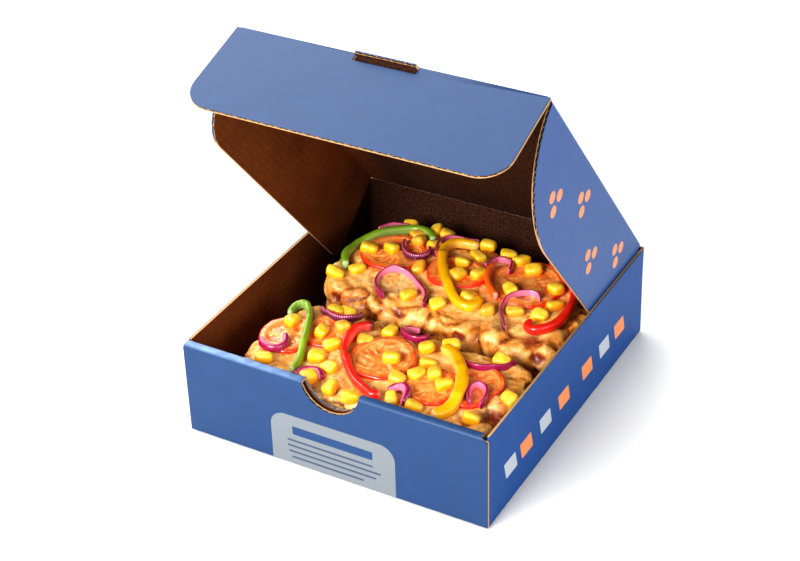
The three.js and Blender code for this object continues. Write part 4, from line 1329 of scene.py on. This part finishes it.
def dough_finish(slices):
    """Matt bread with brown patches and flour, and its pores painted dark as shade."""
    finish = Finish("baked_dough", Roughness=0.75, Specular_IOR_Level=0.25)
    mottle = finish.ramp(finish.noise(6, 5), 0.35, 0.7)
    ground = finish.blend(mottle, slices.crust, slices.crust_dark)
    flour = finish.ramp(finish.noise(2, 4), 0.58, 0.75, 0.0, 0.6)
    ground = finish.blend(flour, ground, slices.cheese)
    # Painted shade: the pores take the dark crust colour.
    finish.feed("Base Color", finish.blend(finish.value("pores"), ground, slices.crust_dark))
    finish.feed("Normal", finish.relief(finish.noise(1, 4), 0.25))
    return finish.material


# ------------------------------------------------------------------ topping shapes


def tomato_top(tomato):
    """The level of a tomato slice's rim."""
    _, own, cx, cy, rx, ry = tomato
    angles = np.radians(np.arange(0, 360, 60))
    around = cheese_height(own, cx + 0.6 * rx * np.cos(angles), cy + 0.6 * ry * np.sin(angles))
    return around.mean() + TOMATO_RISE


def inside_tomato(tomato, x, y, margin):
    _, _, cx, cy, rx, ry = tomato
    return np.hypot((x - cx) / (rx + margin), (y - cy) / (ry + margin)) < 1


def rest_height(slice_name, x, y):
    """What a topping rests on: the cheese or a tomato slice on it."""
    height = float(cheese_height(slice_name, np.array(x), np.array(y)))
    tops = [tomato_top(t) for t in TOMATOES if t[1] == slice_name and inside_tomato(t, x, y, 1)]
    return max([height, *tops])


TOMATO_SIDES = 150
TOMATO_SEEDS = 30  # places tried: only those in a chamber show a seed


def tomato_mesh(tomato, number, material):
    """A cut tomato: a skin, a firm wall, seed chambers and patches of melted cheese."""
    name, _, cx, cy, rx, ry = tomato
    top = tomato_top(tomato)
    angle = np.linspace(0, 2 * math.pi, TOMATO_SIDES, endpoint=False)
    uneven = 1 + 0.035 * np.sin(3 * angle + cx) + 0.02 * np.sin(5 * angle)
    profile = refined([(0.95, -5), (0.975, -4.6), (1, -1.5), (0.99, -0.55), (0.955, -0.1), (0.9, 0.05),
                       (0.82, -0.05), (0.7, -0.3), (0.5, -TOMATO_DISH), (0.28, -0.42), (0.03, -0.4)], 6)
    rng = np.random.default_rng(100 + number)
    twist = rng.uniform(0, 2 * math.pi)
    chambers = 4 + number % 3
    rings, reach, gel = [], [], []
    for scale, drop in profile[1:]:
        turn = angle + 0.3 * np.sin(2 * angle + twist) + 0.5 * scale
        spoke = np.abs(np.sin(chambers * turn / 2 + twist))
        chamber = ease(spoke, 0.3, 0.65) * ease(scale, 0.2, 0.36) * (1 - ease(scale, 0.6, 0.74))
        chamber = chamber * (drop > -1)
        out = scale * uneven
        arcs = 0.22 * math.exp(-(((scale - 0.8) / 0.05) ** 2)) if drop > -1 else 0.0
        rings.append(np.column_stack([cx + rx * out * np.cos(angle), cy + ry * out * np.sin(angle),
                                      top + drop + arcs - 0.5 * chamber]))
        reach.append(np.full(TOMATO_SIDES, scale if drop > -1 else 1.0))
        gel.append(chamber)
    rings, reach, gel = np.array(rings), np.concatenate(reach), np.concatenate(gel)
    flat = rings.reshape(-1, 3)
    seeds = np.zeros(len(flat))
    for _ in range(TOMATO_SEEDS):
        turn, out = rng.uniform(0, 2 * math.pi), rng.uniform(0.3, 0.64)
        gap = flat[:, :2] - (cx + out * rx * math.cos(turn), cy + out * ry * math.sin(turn))
        lengthwise = gap @ np.array([math.cos(turn), math.sin(turn)])
        crosswise = gap @ np.array([-math.sin(turn), math.cos(turn)])
        seeds = np.maximum(seeds, np.exp(-((lengthwise / 1.1) ** 2 + (crosswise / 0.6) ** 2)))
    seeds *= gel
    spread = rough(flat * (1, 1, 0) + number, 10, 51) + 0.6 * rough(flat, 4, 52)
    cover = ease(spread, 0.2, 0.65) * (1 - 0.5 * ease(reach, 0.72, 0.9))
    upper = ease(flat[:, 2], top - 1.5, top - 0.6)
    lift = 0.28 * rough(flat, 5, 41) + 0.14 * rough(flat, 1.7, 42) + 0.5 * seeds + 0.6 * cover
    flat[:, 2] += np.clip(lift, -0.5, 0.8) * upper
    points, faces = skin(flat.reshape(rings.shape))
    values = {"gel": gel, "seed": seeds, "reach": reach, "cover": cover * upper}
    values = {key: padded(numbers) for key, numbers in values.items()}
    return mesh_of("laid_" + name, points, faces, [material], values)


def tomato_finish(toppings, slices):
    """Wet tomato: red skin and wall, pulp and seeds inside, and a thin lace of cheese."""
    finish = Finish("wet_tomato", Roughness=0.25, Specular_IOR_Level=0.5, Subsurface_Weight=0.15,
                    Subsurface_Radius=(1.0, 0.3, 0.15), Subsurface_Scale=0.002,
                    Coat_Weight=0.5, Coat_Roughness=0.1)
    mottle = finish.ramp(finish.noise(4, 4, rough=0.6), 0.38, 0.62)
    reach = finish.value("reach")
    inside = finish.blend(mottle, toppings.tomato_pulp, slices.juice)
    inside = finish.blend(finish.sums("MULTIPLY", finish.value("gel"), 0.75), inside, toppings.tomato)
    streaked = finish.ramp(finish.noise(3, 3), 0.35, 0.65, 0.0, 0.5)
    firm = finish.blend(streaked, toppings.tomato, toppings.tomato_pulp)
    ground = finish.blend(finish.ramp(reach, 0.66, 0.74), inside, firm)
    line = finish.sums("MULTIPLY", finish.ramp(reach, 0.7, 0.77), finish.ramp(reach, 0.78, 0.85, 1.0, 0.0))
    ground = finish.blend(finish.sums("MULTIPLY", line, 0.75), ground, toppings.tomato_pulp)
    ground = finish.blend(finish.value("seed"), ground, toppings.seed)
    ground = finish.blend(finish.ramp(reach, 0.9, 0.97), ground, toppings.tomato_skin)
    cover = finish.patchy(finish.value("cover"), 2, 3, (0.3, 0.6), (0.4, 0.9))
    laced = finish.blend(finish.ramp(finish.noise(3, 2), 0.4, 0.6), slices.cheese_cream, slices.juice)
    finish.feed("Base Color", finish.blend(cover, ground, laced))
    finish.feed("Normal", finish.relief(finish.noise(1.4, 3), 0.12))
    return finish.material


def strip_line(slice_name, path):
    """The points along a strip's underside, draped over what it lies on."""
    curve = smooth_curve(path)
    steps = round(curve_length(curve) / STRIP_STEP)
    line = spaced(curve, steps + 1)
    rests = np.array([rest_height(slice_name, x, y) for x, y in line])
    heights = []
    for i, own in enumerate(rests):
        near = rests[max(0, i - 1) : i + 2]
        heights.append(max(near.mean(), own))
    return np.column_stack([line, heights])


STRIP_SIDES = 24
CHARRED = {"pepper_red_front": 5.0}  # how far the oven blackened a strip's first end


def strip_mesh(strip, shape, cutting, material, number):
    """A strip of vegetable drawn along its line. shape(run, outer, up, ribbed) gives how
    full the section is there, and the ends are cut off square with a soft edge. cutting
    is as described beside PEPPER_CUTTING."""
    name, own, width, height, path = strip
    slimness, cell, blunt, top_share = cutting
    ribbed = RIBBED.get(name, FAINT_RIBS)
    coarse = smooth_curve(strip_line(own, path), steps=12)
    total = curve_length(coarse)
    line = spaced(coarse, round(total / cell))
    run = np.linspace(0, total, len(line))
    ahead = np.gradient(line[:, :2], axis=0)
    ahead /= np.linalg.norm(ahead, axis=1, keepdims=True)
    left = np.stack([-ahead[:, 1], ahead[:, 0]], axis=1)
    turning = np.cross(ahead[:-1], ahead[1:]).sum()
    outer_side = -math.copysign(1, turning)
    angle = np.linspace(0, 2 * math.pi, STRIP_SIDES, endpoint=False)
    across = np.sign(np.cos(angle)) * np.abs(np.cos(angle)) ** (2 / blunt)
    up = np.sign(np.sin(angle)) * np.abs(np.sin(angle)) ** (2 / blunt)
    full_height = slimness * height + STRIP_SINK
    rings, notes = [], []
    for i, at in enumerate(line):
        from_end = min(run[i], total - run[i])
        end = math.sqrt(1 - max(0.0, 1 - from_end / 1.1) ** 2)
        taper = 0.74 + 0.26 * float(ease(from_end, 0, 3.2))
        plump = 1 + 0.06 * math.sin(0.37 * run[i] + number)
        relief = shape(run[i], outer_side * across, up, ribbed)
        narrowing = 1 - (1 - top_share) * (0.5 + 0.5 * up)
        sideways = 0.5 * across * width * narrowing * taper * plump * relief * max(end, 0.02)
        rise = (0.5 + 0.5 * up * relief * max(end, 0.02)) * full_height * (0.9 + 0.1 * taper) - STRIP_SINK
        ring = np.column_stack([at[0] + sideways * left[i, 0], at[1] + sideways * left[i, 1], at[2] + rise])
        rings.append(ring)
        cut = 1.0 - float(ease(from_end, 0.4, 1.6))
        char = 1.0 - float(ease(run[i], 0, CHARRED[name])) if name in CHARRED else 0.0
        same = np.ones(STRIP_SIDES)
        note = [run[i] * same, outer_side * across, up, cut * same, char * same, ribbed * same]
        notes.append(np.column_stack(note))
    points, faces = skin(np.array(rings))
    notes = np.concatenate([*notes, notes[0][:1], notes[-1][:1]])
    values = dict(zip(("along", "outer", "upper", "cut", "char", "ribbed"), notes.T))
    return mesh_of("laid_" + name, points, faces, [material], values)


def pepper_shape(run, outer, up, ribbed):
    """Plump, with the inner side a little hollow."""
    return 1 - 0.1 * np.clip(-outer, 0, 1) * (1 - np.abs(up)) + 0.01 * math.sin(0.9 * run)


# A strip's height as a share of the listed one, the distance between its sections, how
# square they are (2 is round), and the width of their top as a share of the bottom's.
PEPPER_CUTTING = (1.0, 0.5, 2.8, 1.0)
ONION_CUTTING = (0.7, 0.2, 3.2, 0.62)
RIB_PITCH = 1.05
FAINT_RIBS = 0.15
# How strongly a strip's skin is ribbed. A thin inner ring is nearly smooth.
RIBBED = {"onion_purple_front_back": 1.0, "onion_purple_back_left": 1.0, "onion_purple_back_right": 0.8,
          "onion_purple_front_rim": 0.8, "onion_curl_back": 0.6, "onion_ring_front_right": 0.6,
          "onion_pink_back_arc": 0.2, "onion_crescent_front": 0.15, "onion_ring_front": 0.2}
INNER_RINGS = ("pink", "crescent", "curl", "ring_front")


def onion_shape(run, outer, up, ribbed):
    """Fine ribs across the outer side and the outer half of the top."""
    groove = (0.5 + 0.5 * math.cos(2 * math.pi * run / RIB_PITCH)) ** 2
    return 1 - 0.16 * ribbed * groove * np.clip(outer, 0, 1) * (0.25 + 0.75 * np.clip(up, 0, 1))


def pepper_finish(name, skin_colour, slices):
    """Glossy skin on the outer side and paler wet flesh on the inner side, with painted shade on the
    underside.
    """
    finish = Finish(name, Roughness=0.3, Specular_IOR_Level=0.5, Subsurface_Weight=0.15,
                    Subsurface_Radius=(1.0, 0.6, 0.3), Subsurface_Scale=0.0015,
                    Coat_Weight=0.5, Coat_Roughness=0.09)
    deep = tuple(0.62 * c for c in skin_colour)
    pale = tuple(0.7 * c + 0.25 for c in skin_colour)
    mottle = finish.ramp(finish.noise(9, 2), 0.2, 0.5, 0.6, 1.0)
    ground = finish.blend(mottle, deep, skin_colour)
    # Painted shade: the darker copy of the skin towards the strip's underside.
    ground = finish.blend(finish.ramp(finish.value("upper"), -0.9, 0.1, 0.4, 0.0), ground, deep)
    ground = finish.blend(finish.ramp(finish.value("outer"), -1.0, -0.3, 0.3, 0.0), ground, pale)
    ground = finish.blend(finish.sums("MULTIPLY", finish.value("cut"), 0.8), ground, pale)
    black = tuple(0.2 * c for c in slices.sauce)
    finish.feed("Base Color", finish.blend(finish.value("char"), ground, black))
    grain = finish.relief(finish.noise(1.8, 2), 0.1)
    finish.feed("Normal", finish.relief(finish.noise(0.4, 2), 0.025, grain))
    return finish.material


def onion_finish(name, toppings, skin_colour):
    """A ribbed purple skin on the outer side, and pale streaked flesh inside it."""
    finish = Finish(name, Roughness=0.26, Specular_IOR_Level=0.5, Subsurface_Weight=0.2,
                    Subsurface_Radius=(1.0, 0.4, 0.6), Subsurface_Scale=0.0015,
                    Coat_Weight=0.4, Coat_Roughness=0.12)
    outer, upper = finish.value("outer"), finish.value("upper")
    stretched = finish.sums("MULTIPLY", finish.value("along"), 0.16)
    around = finish.add("CombineXYZ", {0: stretched, 1: outer, 2: upper})
    streaks = finish.add("TexNoise", {"Vector": around, "Scale": 2.2, "Detail": 3.0})
    flesh = finish.blend(finish.ramp(outer, -1.0, -0.3), toppings.onion_pale, toppings.onion_flesh)
    flesh = finish.blend(finish.ramp(streaks, 0.42, 0.62, 0.0, 0.4), flesh, toppings.onion_pale)
    ground = finish.blend(finish.ramp(outer, -0.6, 0.15), flesh, toppings.onion_pink)
    ground = finish.blend(finish.ramp(outer, 0.2, 0.8), ground, skin_colour)
    turns = finish.sums("MULTIPLY", finish.value("along"), 2 * math.pi / RIB_PITCH)
    tick = finish.ramp(finish.sums("COSINE", turns), -0.5, 0.7, 1.0, 0.0)
    tick = finish.sums("MULTIPLY", tick, finish.value("ribbed"))
    tick = finish.sums("MULTIPLY", tick, finish.ramp(upper, 0.0, 0.9, 0.05, 0.75))
    tick = finish.sums("MULTIPLY", tick, finish.ramp(outer, 0.3, 0.8))
    finish.feed("Base Color", finish.blend(tick, ground, toppings.onion_pale))
    finish.feed("Normal", finish.relief(streaks, 0.1))
    return finish.material


def rounded_cube(cuts, blunt):
    """A cube's grid pushed out to a plump form: points from -1 to 1, and faces."""
    worker = bmesh.new()
    bmesh.ops.create_cube(worker, size=2)
    bmesh.ops.subdivide_edges(worker, edges=worker.edges, cuts=cuts, use_grid_fill=True)
    points = np.array([v.co[:] for v in worker.verts])
    worker.verts.index_update()
    faces = [[v.index for v in face.verts] for face in worker.faces]
    worker.free()
    points = np.tan(points * math.pi / 4 * 0.98)
    points /= np.linalg.norm(points, axis=1, keepdims=True)
    reach = (np.abs(points) ** blunt).sum(axis=1) ** (-1 / blunt)
    return points * reach[:, None], faces


def kernels_mesh(toppings, material):
    """Every sweetcorn kernel: a plump wedge, with painted highlight on its upper side and painted shade
    below.
    """
    base, base_faces = rounded_cube(7, 3.5)
    rng = np.random.default_rng(5)
    half = np.array([toppings.kernel_length, toppings.kernel_width, toppings.kernel_height]) / MM / 2
    points, faces, kernel_light_shares, shades = [], [], [], []
    for own, places in KERNELS.items():
        for x, y, turn in places:
            uneven = rng.uniform(0.88, 1.06, 3)
            body = base.copy()
            narrow = 1 - rng.uniform(0.12, 0.32) * (body[:, 0] + 1) / 2
            body[:, 1:] *= narrow[:, None]
            body[:, 0] += rng.uniform(-0.14, 0.14) * body[:, 1]
            body += 0.05 * np.stack([rough(base + turn + x, 0.9, k) for k in (1, 2, 3)], axis=1)
            body *= half * uneven
            lean = Matrix.Rotation(math.radians(turn + rng.uniform(-12, 12)), 3, "Z")
            lean = lean @ Matrix.Rotation(math.radians(rng.uniform(-16, 16)), 3, "Y")
            lean = lean @ Matrix.Rotation(math.radians(rng.uniform(-22, 22)), 3, "X")
            body = body @ np.array(lean).T
            under = [t for t in TOMATOES if t[1] == own and inside_tomato(t, x, y, 0)]
            rest = max([float(cheese_height(own, np.array(x), np.array(y))),
                        *[tomato_top(t) - TOMATO_DISH for t in under]])
            body += (x, y, rest + KERNEL_RISE)
            start = sum(map(len, points))
            points.append(body)
            faces += [[start + i for i in face] for face in base_faces]
            # Painted light: 1 on the kernel's upper side, 0 on its lower side.
            kernel_light_shares.append(ease(base[:, 2], -0.4, 0.9))
            shades.append(np.full(len(base), rng.uniform(0, 1)))
    values = {"kernel_light": np.concatenate(kernel_light_shares), "shade": np.concatenate(shades)}
    return mesh_of("sweetcorn_kernels", np.concatenate(points), faces, [material], values)


def corn_finish(toppings, slices):
    """Wet yellow kernels, some of them thinly coated in cheese, with painted highlight on top and painted
    shade below.
    """
    finish = Finish("wet_sweetcorn", Roughness=0.32, Specular_IOR_Level=0.45, Subsurface_Weight=0.4,
                    Subsurface_Radius=(1.0, 0.7, 0.15), Subsurface_Scale=0.003,
                    Coat_Weight=0.3, Coat_Roughness=0.14)
    # Painted shade: an orange, darker copy of the kernel colour for the lower side.
    orange = tuple(c * k for c, k in zip(toppings.corn, (1.0, 0.76, 0.4)))
    ground = finish.blend(finish.ramp(finish.value("kernel_light"), 0.0, 0.6), orange, toppings.corn)
    ground = finish.blend(finish.ramp(finish.value("shade"), 0.0, 1.0, 0.0, 0.35), ground, orange)
    mottle = finish.ramp(finish.noise(2.4, 3), 0.35, 0.75, 0.1, 0.8)
    # Painted highlight: the palest kernel colour on the upper side, in patches.
    pale = finish.sums("MULTIPLY", finish.ramp(finish.value("kernel_light"), 0.5, 1.0), mottle)
    ground = finish.blend(pale, ground, toppings.corn_highlight)
    coated = finish.ramp(finish.value("shade"), 0.82, 0.9, 0.0, 0.45)
    finish.feed("Base Color", finish.blend(coated, ground, slices.cheese))
    finish.feed("Normal", finish.relief(finish.noise(1.1, 2), 0.1))
    return finish.material


FLAKES_ACROSS = (-60, 74)
FLAKES_ALONG = (-79, 68)
FLAKES_LOWEST = CHEESE_BOTTOM + 5
ABOVE_FOOD = 0.1  # metres


def flakes_mesh(toppings, surfaces, material):
    """Herb flakes and crumbs lying on the cheese and the tomato slices."""
    rng = np.random.default_rng(17)
    corners = np.array([(1, 0, 0), (0, 1, 0), (-1, 0, 0), (0, -1, 0), (0, 0, 1), (0, 0, -1)], float)
    sides = [(0, 1, 4), (1, 2, 4), (2, 3, 4), (3, 0, 4), (1, 0, 5), (2, 1, 5), (3, 2, 5), (0, 3, 5)]
    points, faces, shades = [], [], []
    while len(shades) < toppings.flakes:
        x, y = rng.uniform(*FLAKES_ACROSS), rng.uniform(*FLAKES_ALONG)
        start = Vector((x * MM, y * MM, ABOVE_FOOD))
        hits = [surface.ray_cast(start, Vector((0, 0, -1))) for surface in surfaces]
        hits = [hit for hit in hits if hit[0] is not None]
        if not hits:
            continue
        where, normal = max(hits, key=lambda hit: hit[0].z)[:2]
        if where.z / MM < FLAKES_LOWEST:
            continue
        size = rng.uniform(0.12, 0.34) * np.array([1, rng.uniform(0.4, 0.8), 0.25])
        turn = normal.to_track_quat("Z", "X").to_matrix() @ Matrix.Rotation(rng.uniform(0, 6.28), 3, "Z")
        first = len(points) * len(corners)
        points.append((corners * size) @ np.array(turn).T + np.array(where) / MM)
        faces += [[first + i for i in side] for side in sides]
        shades.append(rng.uniform(0, 1))
    values = {"shade": np.repeat(shades, len(corners))}
    return mesh_of("herb_flakes", np.concatenate(points), faces, [material], values)


def herb_finish(toppings, slices):
    """Dull green and brown flakes."""
    finish = Finish("dried_herbs", Roughness=0.7, Specular_IOR_Level=0.3)
    shade = finish.ramp(finish.value("shade"), 0.2, 0.9)
    ground = finish.blend(shade, toppings.herb, slices.cheese_brown)
    mottle = finish.ramp(finish.noise(0.4, 2), 0.4, 0.6)
    finish.feed("Base Color", finish.blend(mottle, ground, toppings.herb))
    return finish.material


# ----------------------------------------------------------------------- operators


FLOOR_HALF = 3.0  # metres
FLOOR_CORNERS = ((-1, -1), (1, -1), (1, 1), (-1, 1))
FLOOR_GAP = 0.2 * MM  # under the box, so that the two don't coincide
LIGHTS_AIM = (0, 0, 0.04)
CAMERA_PLACE = (0.3587, -0.6435, 0.5396)
CAMERA_TURN = (-30.07, 33.14, -1.78)  # to the right, downward and over, in degrees
CAMERA_SHIFT = (0.00525, -0.0016875)


class PIZZA_OT_stage(Operator):
    """Sets out the floor, the soft lights and the camera"""

    bl_idname = "pizza.set_stage"
    bl_label = "Set stage"

    def execute(self, context):
        stage = context.scene.pizza_stage
        self.make_floor(stage)
        self.make_world(context, stage)
        self.make_light("key_light", stage.key_power, (0.5, 0.45), (-0.2, -1.0, 0.6))
        self.make_light("top_light", stage.top_power, (1.7, 1.1), (-0.85, 0.5, 1.05))
        self.make_light("side_light", stage.side_power, (1.0, 0.6), (1.1, -0.5, 0.45))
        self.make_camera(context, stage)
        context.scene.view_settings.view_transform = "Standard"
        context.scene.view_settings.look = "Medium High Contrast"
        return {"FINISHED"}

    @staticmethod
    def make_floor(stage):
        corners = [(x * FLOOR_HALF, y * FLOOR_HALF, -FLOOR_GAP) for x, y in FLOOR_CORNERS]
        mesh = bpy.data.meshes.new("floor")
        mesh.from_pydata(corners, [], [(0, 1, 2, 3)])
        finish = Finish("pale_floor", Roughness=0.85, Specular_IOR_Level=0.1)
        finish.feed("Base Color", stage.floor)
        mesh.materials.append(finish.material)
        floor = bpy.data.objects.new("floor", mesh)
        bpy.context.scene.collection.objects.link(floor)

    @staticmethod
    def make_world(context, stage):
        world = bpy.data.worlds.new("room")
        world.use_nodes = True
        background = world.node_tree.nodes["Background"]
        background.inputs["Color"].default_value = (1, 1, 1, 1)
        background.inputs["Strength"].default_value = stage.sky
        context.scene.world = world

    @staticmethod
    def make_light(name, power, size, place):
        data = bpy.data.lights.new(name, "AREA")
        data.energy = power
        data.shape = "RECTANGLE"
        data.size, data.size_y = size
        light = bpy.data.objects.new(name, data)
        light.location = place
        light.rotation_euler = (Vector(LIGHTS_AIM) - Vector(place)).to_track_quat("-Z", "Y").to_euler()
        bpy.context.scene.collection.objects.link(light)

    @staticmethod
    def make_camera(context, stage):
        data = bpy.data.cameras.new("camera")
        data.lens = stage.lens
        data.sensor_width = 36
        data.shift_x, data.shift_y = CAMERA_SHIFT
        camera = bpy.data.objects.new("camera", data)
        yaw, pitch, roll = (math.radians(a) for a in CAMERA_TURN)
        ahead = Vector((math.sin(yaw) * math.cos(pitch), math.cos(yaw) * math.cos(pitch), -math.sin(pitch)))
        right = Vector((math.cos(yaw), -math.sin(yaw), 0))
        upward = right.cross(ahead)
        turned_right = right * math.cos(roll) + upward * math.sin(roll)
        turned_up = upward * math.cos(roll) - right * math.sin(roll)
        axes = Matrix((turned_right, turned_up, -ahead)).transposed()
        camera.matrix_world = Matrix.Translation(CAMERA_PLACE) @ axes.to_4x4()
        context.scene.collection.objects.link(camera)
        context.scene.camera = camera


class PIZZA_OT_tray(Operator):
    """Folds the tray with its hollow front wall"""

    bl_idname = "pizza.fold_tray"
    bl_label = "Fold tray"

    def execute(self, context):
        box = context.scene.pizza_box
        materials = [
            printed_finish("printed_back", box, box.print_blue, 0.5),
            # Painted shade: the tray's bare inside darkens towards the back wall.
            kraft_finish(box, "kraft_tray", "Y", -50, 86),
            cut_finish(box),
            # The side walls take the deeper blue, which is painted shade.
            printed_finish("printed_side", box, box.side_blue_painted_shade, 0.0, dash_print),
            printed_finish("printed_front", box, box.print_blue, 0.6, label_print),
            hollow_finish(box),
        ]
        mesh = fold_tray(box).make("folded_tray", materials)
        finish_piece("folded_tray", mesh, "box", ["tray"])
        return {"FINISHED"}


class PIZZA_OT_lid(Operator):
    """Folds the lid with its ears, and its front flap"""

    bl_idname = "pizza.fold_lid"
    bl_label = "Fold lid and flap"

    def execute(self, context):
        box = context.scene.pizza_box
        # Painted shade: the lid's bare inside darkens from its left ear inwards.
        shared = [kraft_finish(box, "kraft_lid", "X", -78, -55), cut_finish(box)]
        # The lid and its ears take the deeper blue, which is painted shade.
        ears = printed_finish("printed_lid", box, box.side_blue_painted_shade, 1.1, dot_print)
        mesh = fold_lid(box).make("folded_lid", [ears, *shared])
        finish_piece("folded_lid", mesh, "lid", ["lid"])
        plain = printed_finish("printed_flap", box, box.print_blue, 1.0)
        mesh = fold_flap(box).make("folded_flap", [plain, *shared])
        finish_piece("folded_flap", mesh, "front_flap", ["front_flap"])
        return {"FINISHED"}


class PIZZA_OT_slices(Operator):
    """Bakes the dough and the cheese of both slices"""

    bl_idname = "pizza.bake_slices"
    bl_label = "Bake slices"

    def execute(self, context):
        slices = context.scene.pizza_slices
        dough, cheese = dough_finish(slices), cheese_finish(slices)
        for name in SLICES:
            base = dough_mesh(name, dough)
            finish_piece(base.name, base, "box", ["dough_" + name])
            top = cheese_mesh(name, slices, cheese)
            finish_piece(top.name, top, "box", ["cheese_" + name])
        return {"FINISHED"}


class PIZZA_OT_tomatoes(Operator):
    """Lays the tomato slices"""

    bl_idname = "pizza.lay_tomatoes"
    bl_label = "Lay tomatoes"

    def execute(self, context):
        finish = tomato_finish(context.scene.pizza_toppings, context.scene.pizza_slices)
        for number, tomato in enumerate(TOMATOES):
            mesh = tomato_mesh(tomato, number, finish)
            finish_piece(mesh.name, mesh, "box", [tomato[0]])
        return {"FINISHED"}


class PIZZA_OT_peppers(Operator):
    """Lays the strips of green, red, yellow and orange pepper"""

    bl_idname = "pizza.lay_peppers"
    bl_label = "Lay peppers"

    def execute(self, context):
        toppings = context.scene.pizza_toppings
        finishes = {}
        for number, strip in enumerate(PEPPERS):
            kind = strip[0].split("_")[1]
            if kind not in finishes:
                skin_colour = getattr(toppings, kind)
                finishes[kind] = pepper_finish("pepper_skin_" + kind, skin_colour, context.scene.pizza_slices)
            mesh = strip_mesh(strip, pepper_shape, PEPPER_CUTTING, finishes[kind], number)
            finish_piece(mesh.name, mesh, "box", [strip[0]])
        return {"FINISHED"}


class PIZZA_OT_onions(Operator):
    """Lays the strips and rings of red onion"""

    bl_idname = "pizza.lay_onions"
    bl_label = "Lay onions"

    def execute(self, context):
        toppings = context.scene.pizza_toppings
        pink = onion_finish("onion_pink", toppings, toppings.onion_pink)
        purple = onion_finish("onion_purple", toppings, toppings.onion_skin)
        for number, strip in enumerate(ONIONS):
            finish = pink if any(kind in strip[0] for kind in INNER_RINGS) else purple
            mesh = strip_mesh(strip, onion_shape, ONION_CUTTING, finish, number)
            finish_piece(mesh.name, mesh, "box", [strip[0]])
        return {"FINISHED"}


class PIZZA_OT_sweetcorn(Operator):
    """Scatters the sweetcorn kernels"""

    bl_idname = "pizza.scatter_sweetcorn"
    bl_label = "Scatter sweetcorn"

    def execute(self, context):
        toppings = context.scene.pizza_toppings
        mesh = kernels_mesh(toppings, corn_finish(toppings, context.scene.pizza_slices))
        finish_piece(mesh.name, mesh, "box")
        return {"FINISHED"}


class PIZZA_OT_herbs(Operator):
    """Scatters herb flakes and crumbs on the cheese and tomatoes"""

    bl_idname = "pizza.scatter_herbs"
    bl_label = "Scatter herbs"

    def execute(self, context):
        scene = context.scene
        graph = context.evaluated_depsgraph_get()
        under = [o for o in scene.objects if o.name.startswith(("baked_cheese", "laid_tomato"))]
        surfaces = [BVHTree.FromObject(piece, graph) for piece in under]
        finish = herb_finish(scene.pizza_toppings, scene.pizza_slices)
        mesh = flakes_mesh(scene.pizza_toppings, surfaces, finish)
        finish_piece(mesh.name, mesh, "box")
        return {"FINISHED"}


MAKERS = (
    PIZZA_OT_stage,
    PIZZA_OT_tray,
    PIZZA_OT_lid,
    PIZZA_OT_slices,
    PIZZA_OT_tomatoes,
    PIZZA_OT_peppers,
    PIZZA_OT_onions,
    PIZZA_OT_sweetcorn,
    PIZZA_OT_herbs,
)
SETTINGS = {
    "pizza_box": PIZZA_PG_box,
    "pizza_slices": PIZZA_PG_slices,
    "pizza_toppings": PIZZA_PG_toppings,
    "pizza_stage": PIZZA_PG_stage,
}


class PIZZA_PT_panel(Panel):
    """Lists the steps and the sizes and colours behind them"""

    bl_idname = "PIZZA_PT_panel"
    bl_label = "Boxed pizza"
    bl_space_type = "VIEW_3D"
    bl_region_type = "UI"
    bl_category = "Pizza"

    def draw(self, context):
        for maker in MAKERS:
            self.layout.operator(maker.bl_idname)
        for name, group in SETTINGS.items():
            column = self.layout.box().column()
            for key in group.__annotations__:
                column.prop(getattr(context.scene, name), key)


def register():
    for kind in (*SETTINGS.values(), *MAKERS, PIZZA_PT_panel):
        bpy.utils.register_class(kind)
    for name, group in SETTINGS.items():
        setattr(bpy.types.Scene, name, PointerProperty(type=group))


def unregister():
    for name in SETTINGS:
        delattr(bpy.types.Scene, name)
    for kind in (PIZZA_PT_panel, *MAKERS[::-1], *SETTINGS.values()):
        bpy.utils.unregister_class(kind)


def main():
    """Makes every piece."""
    register()
    for maker in MAKERS:
        group, step = maker.bl_idname.split(".")
        getattr(getattr(bpy.ops, group), step)()
    bpy.context.view_layer.update()


if __name__ == "__main__":
    main()
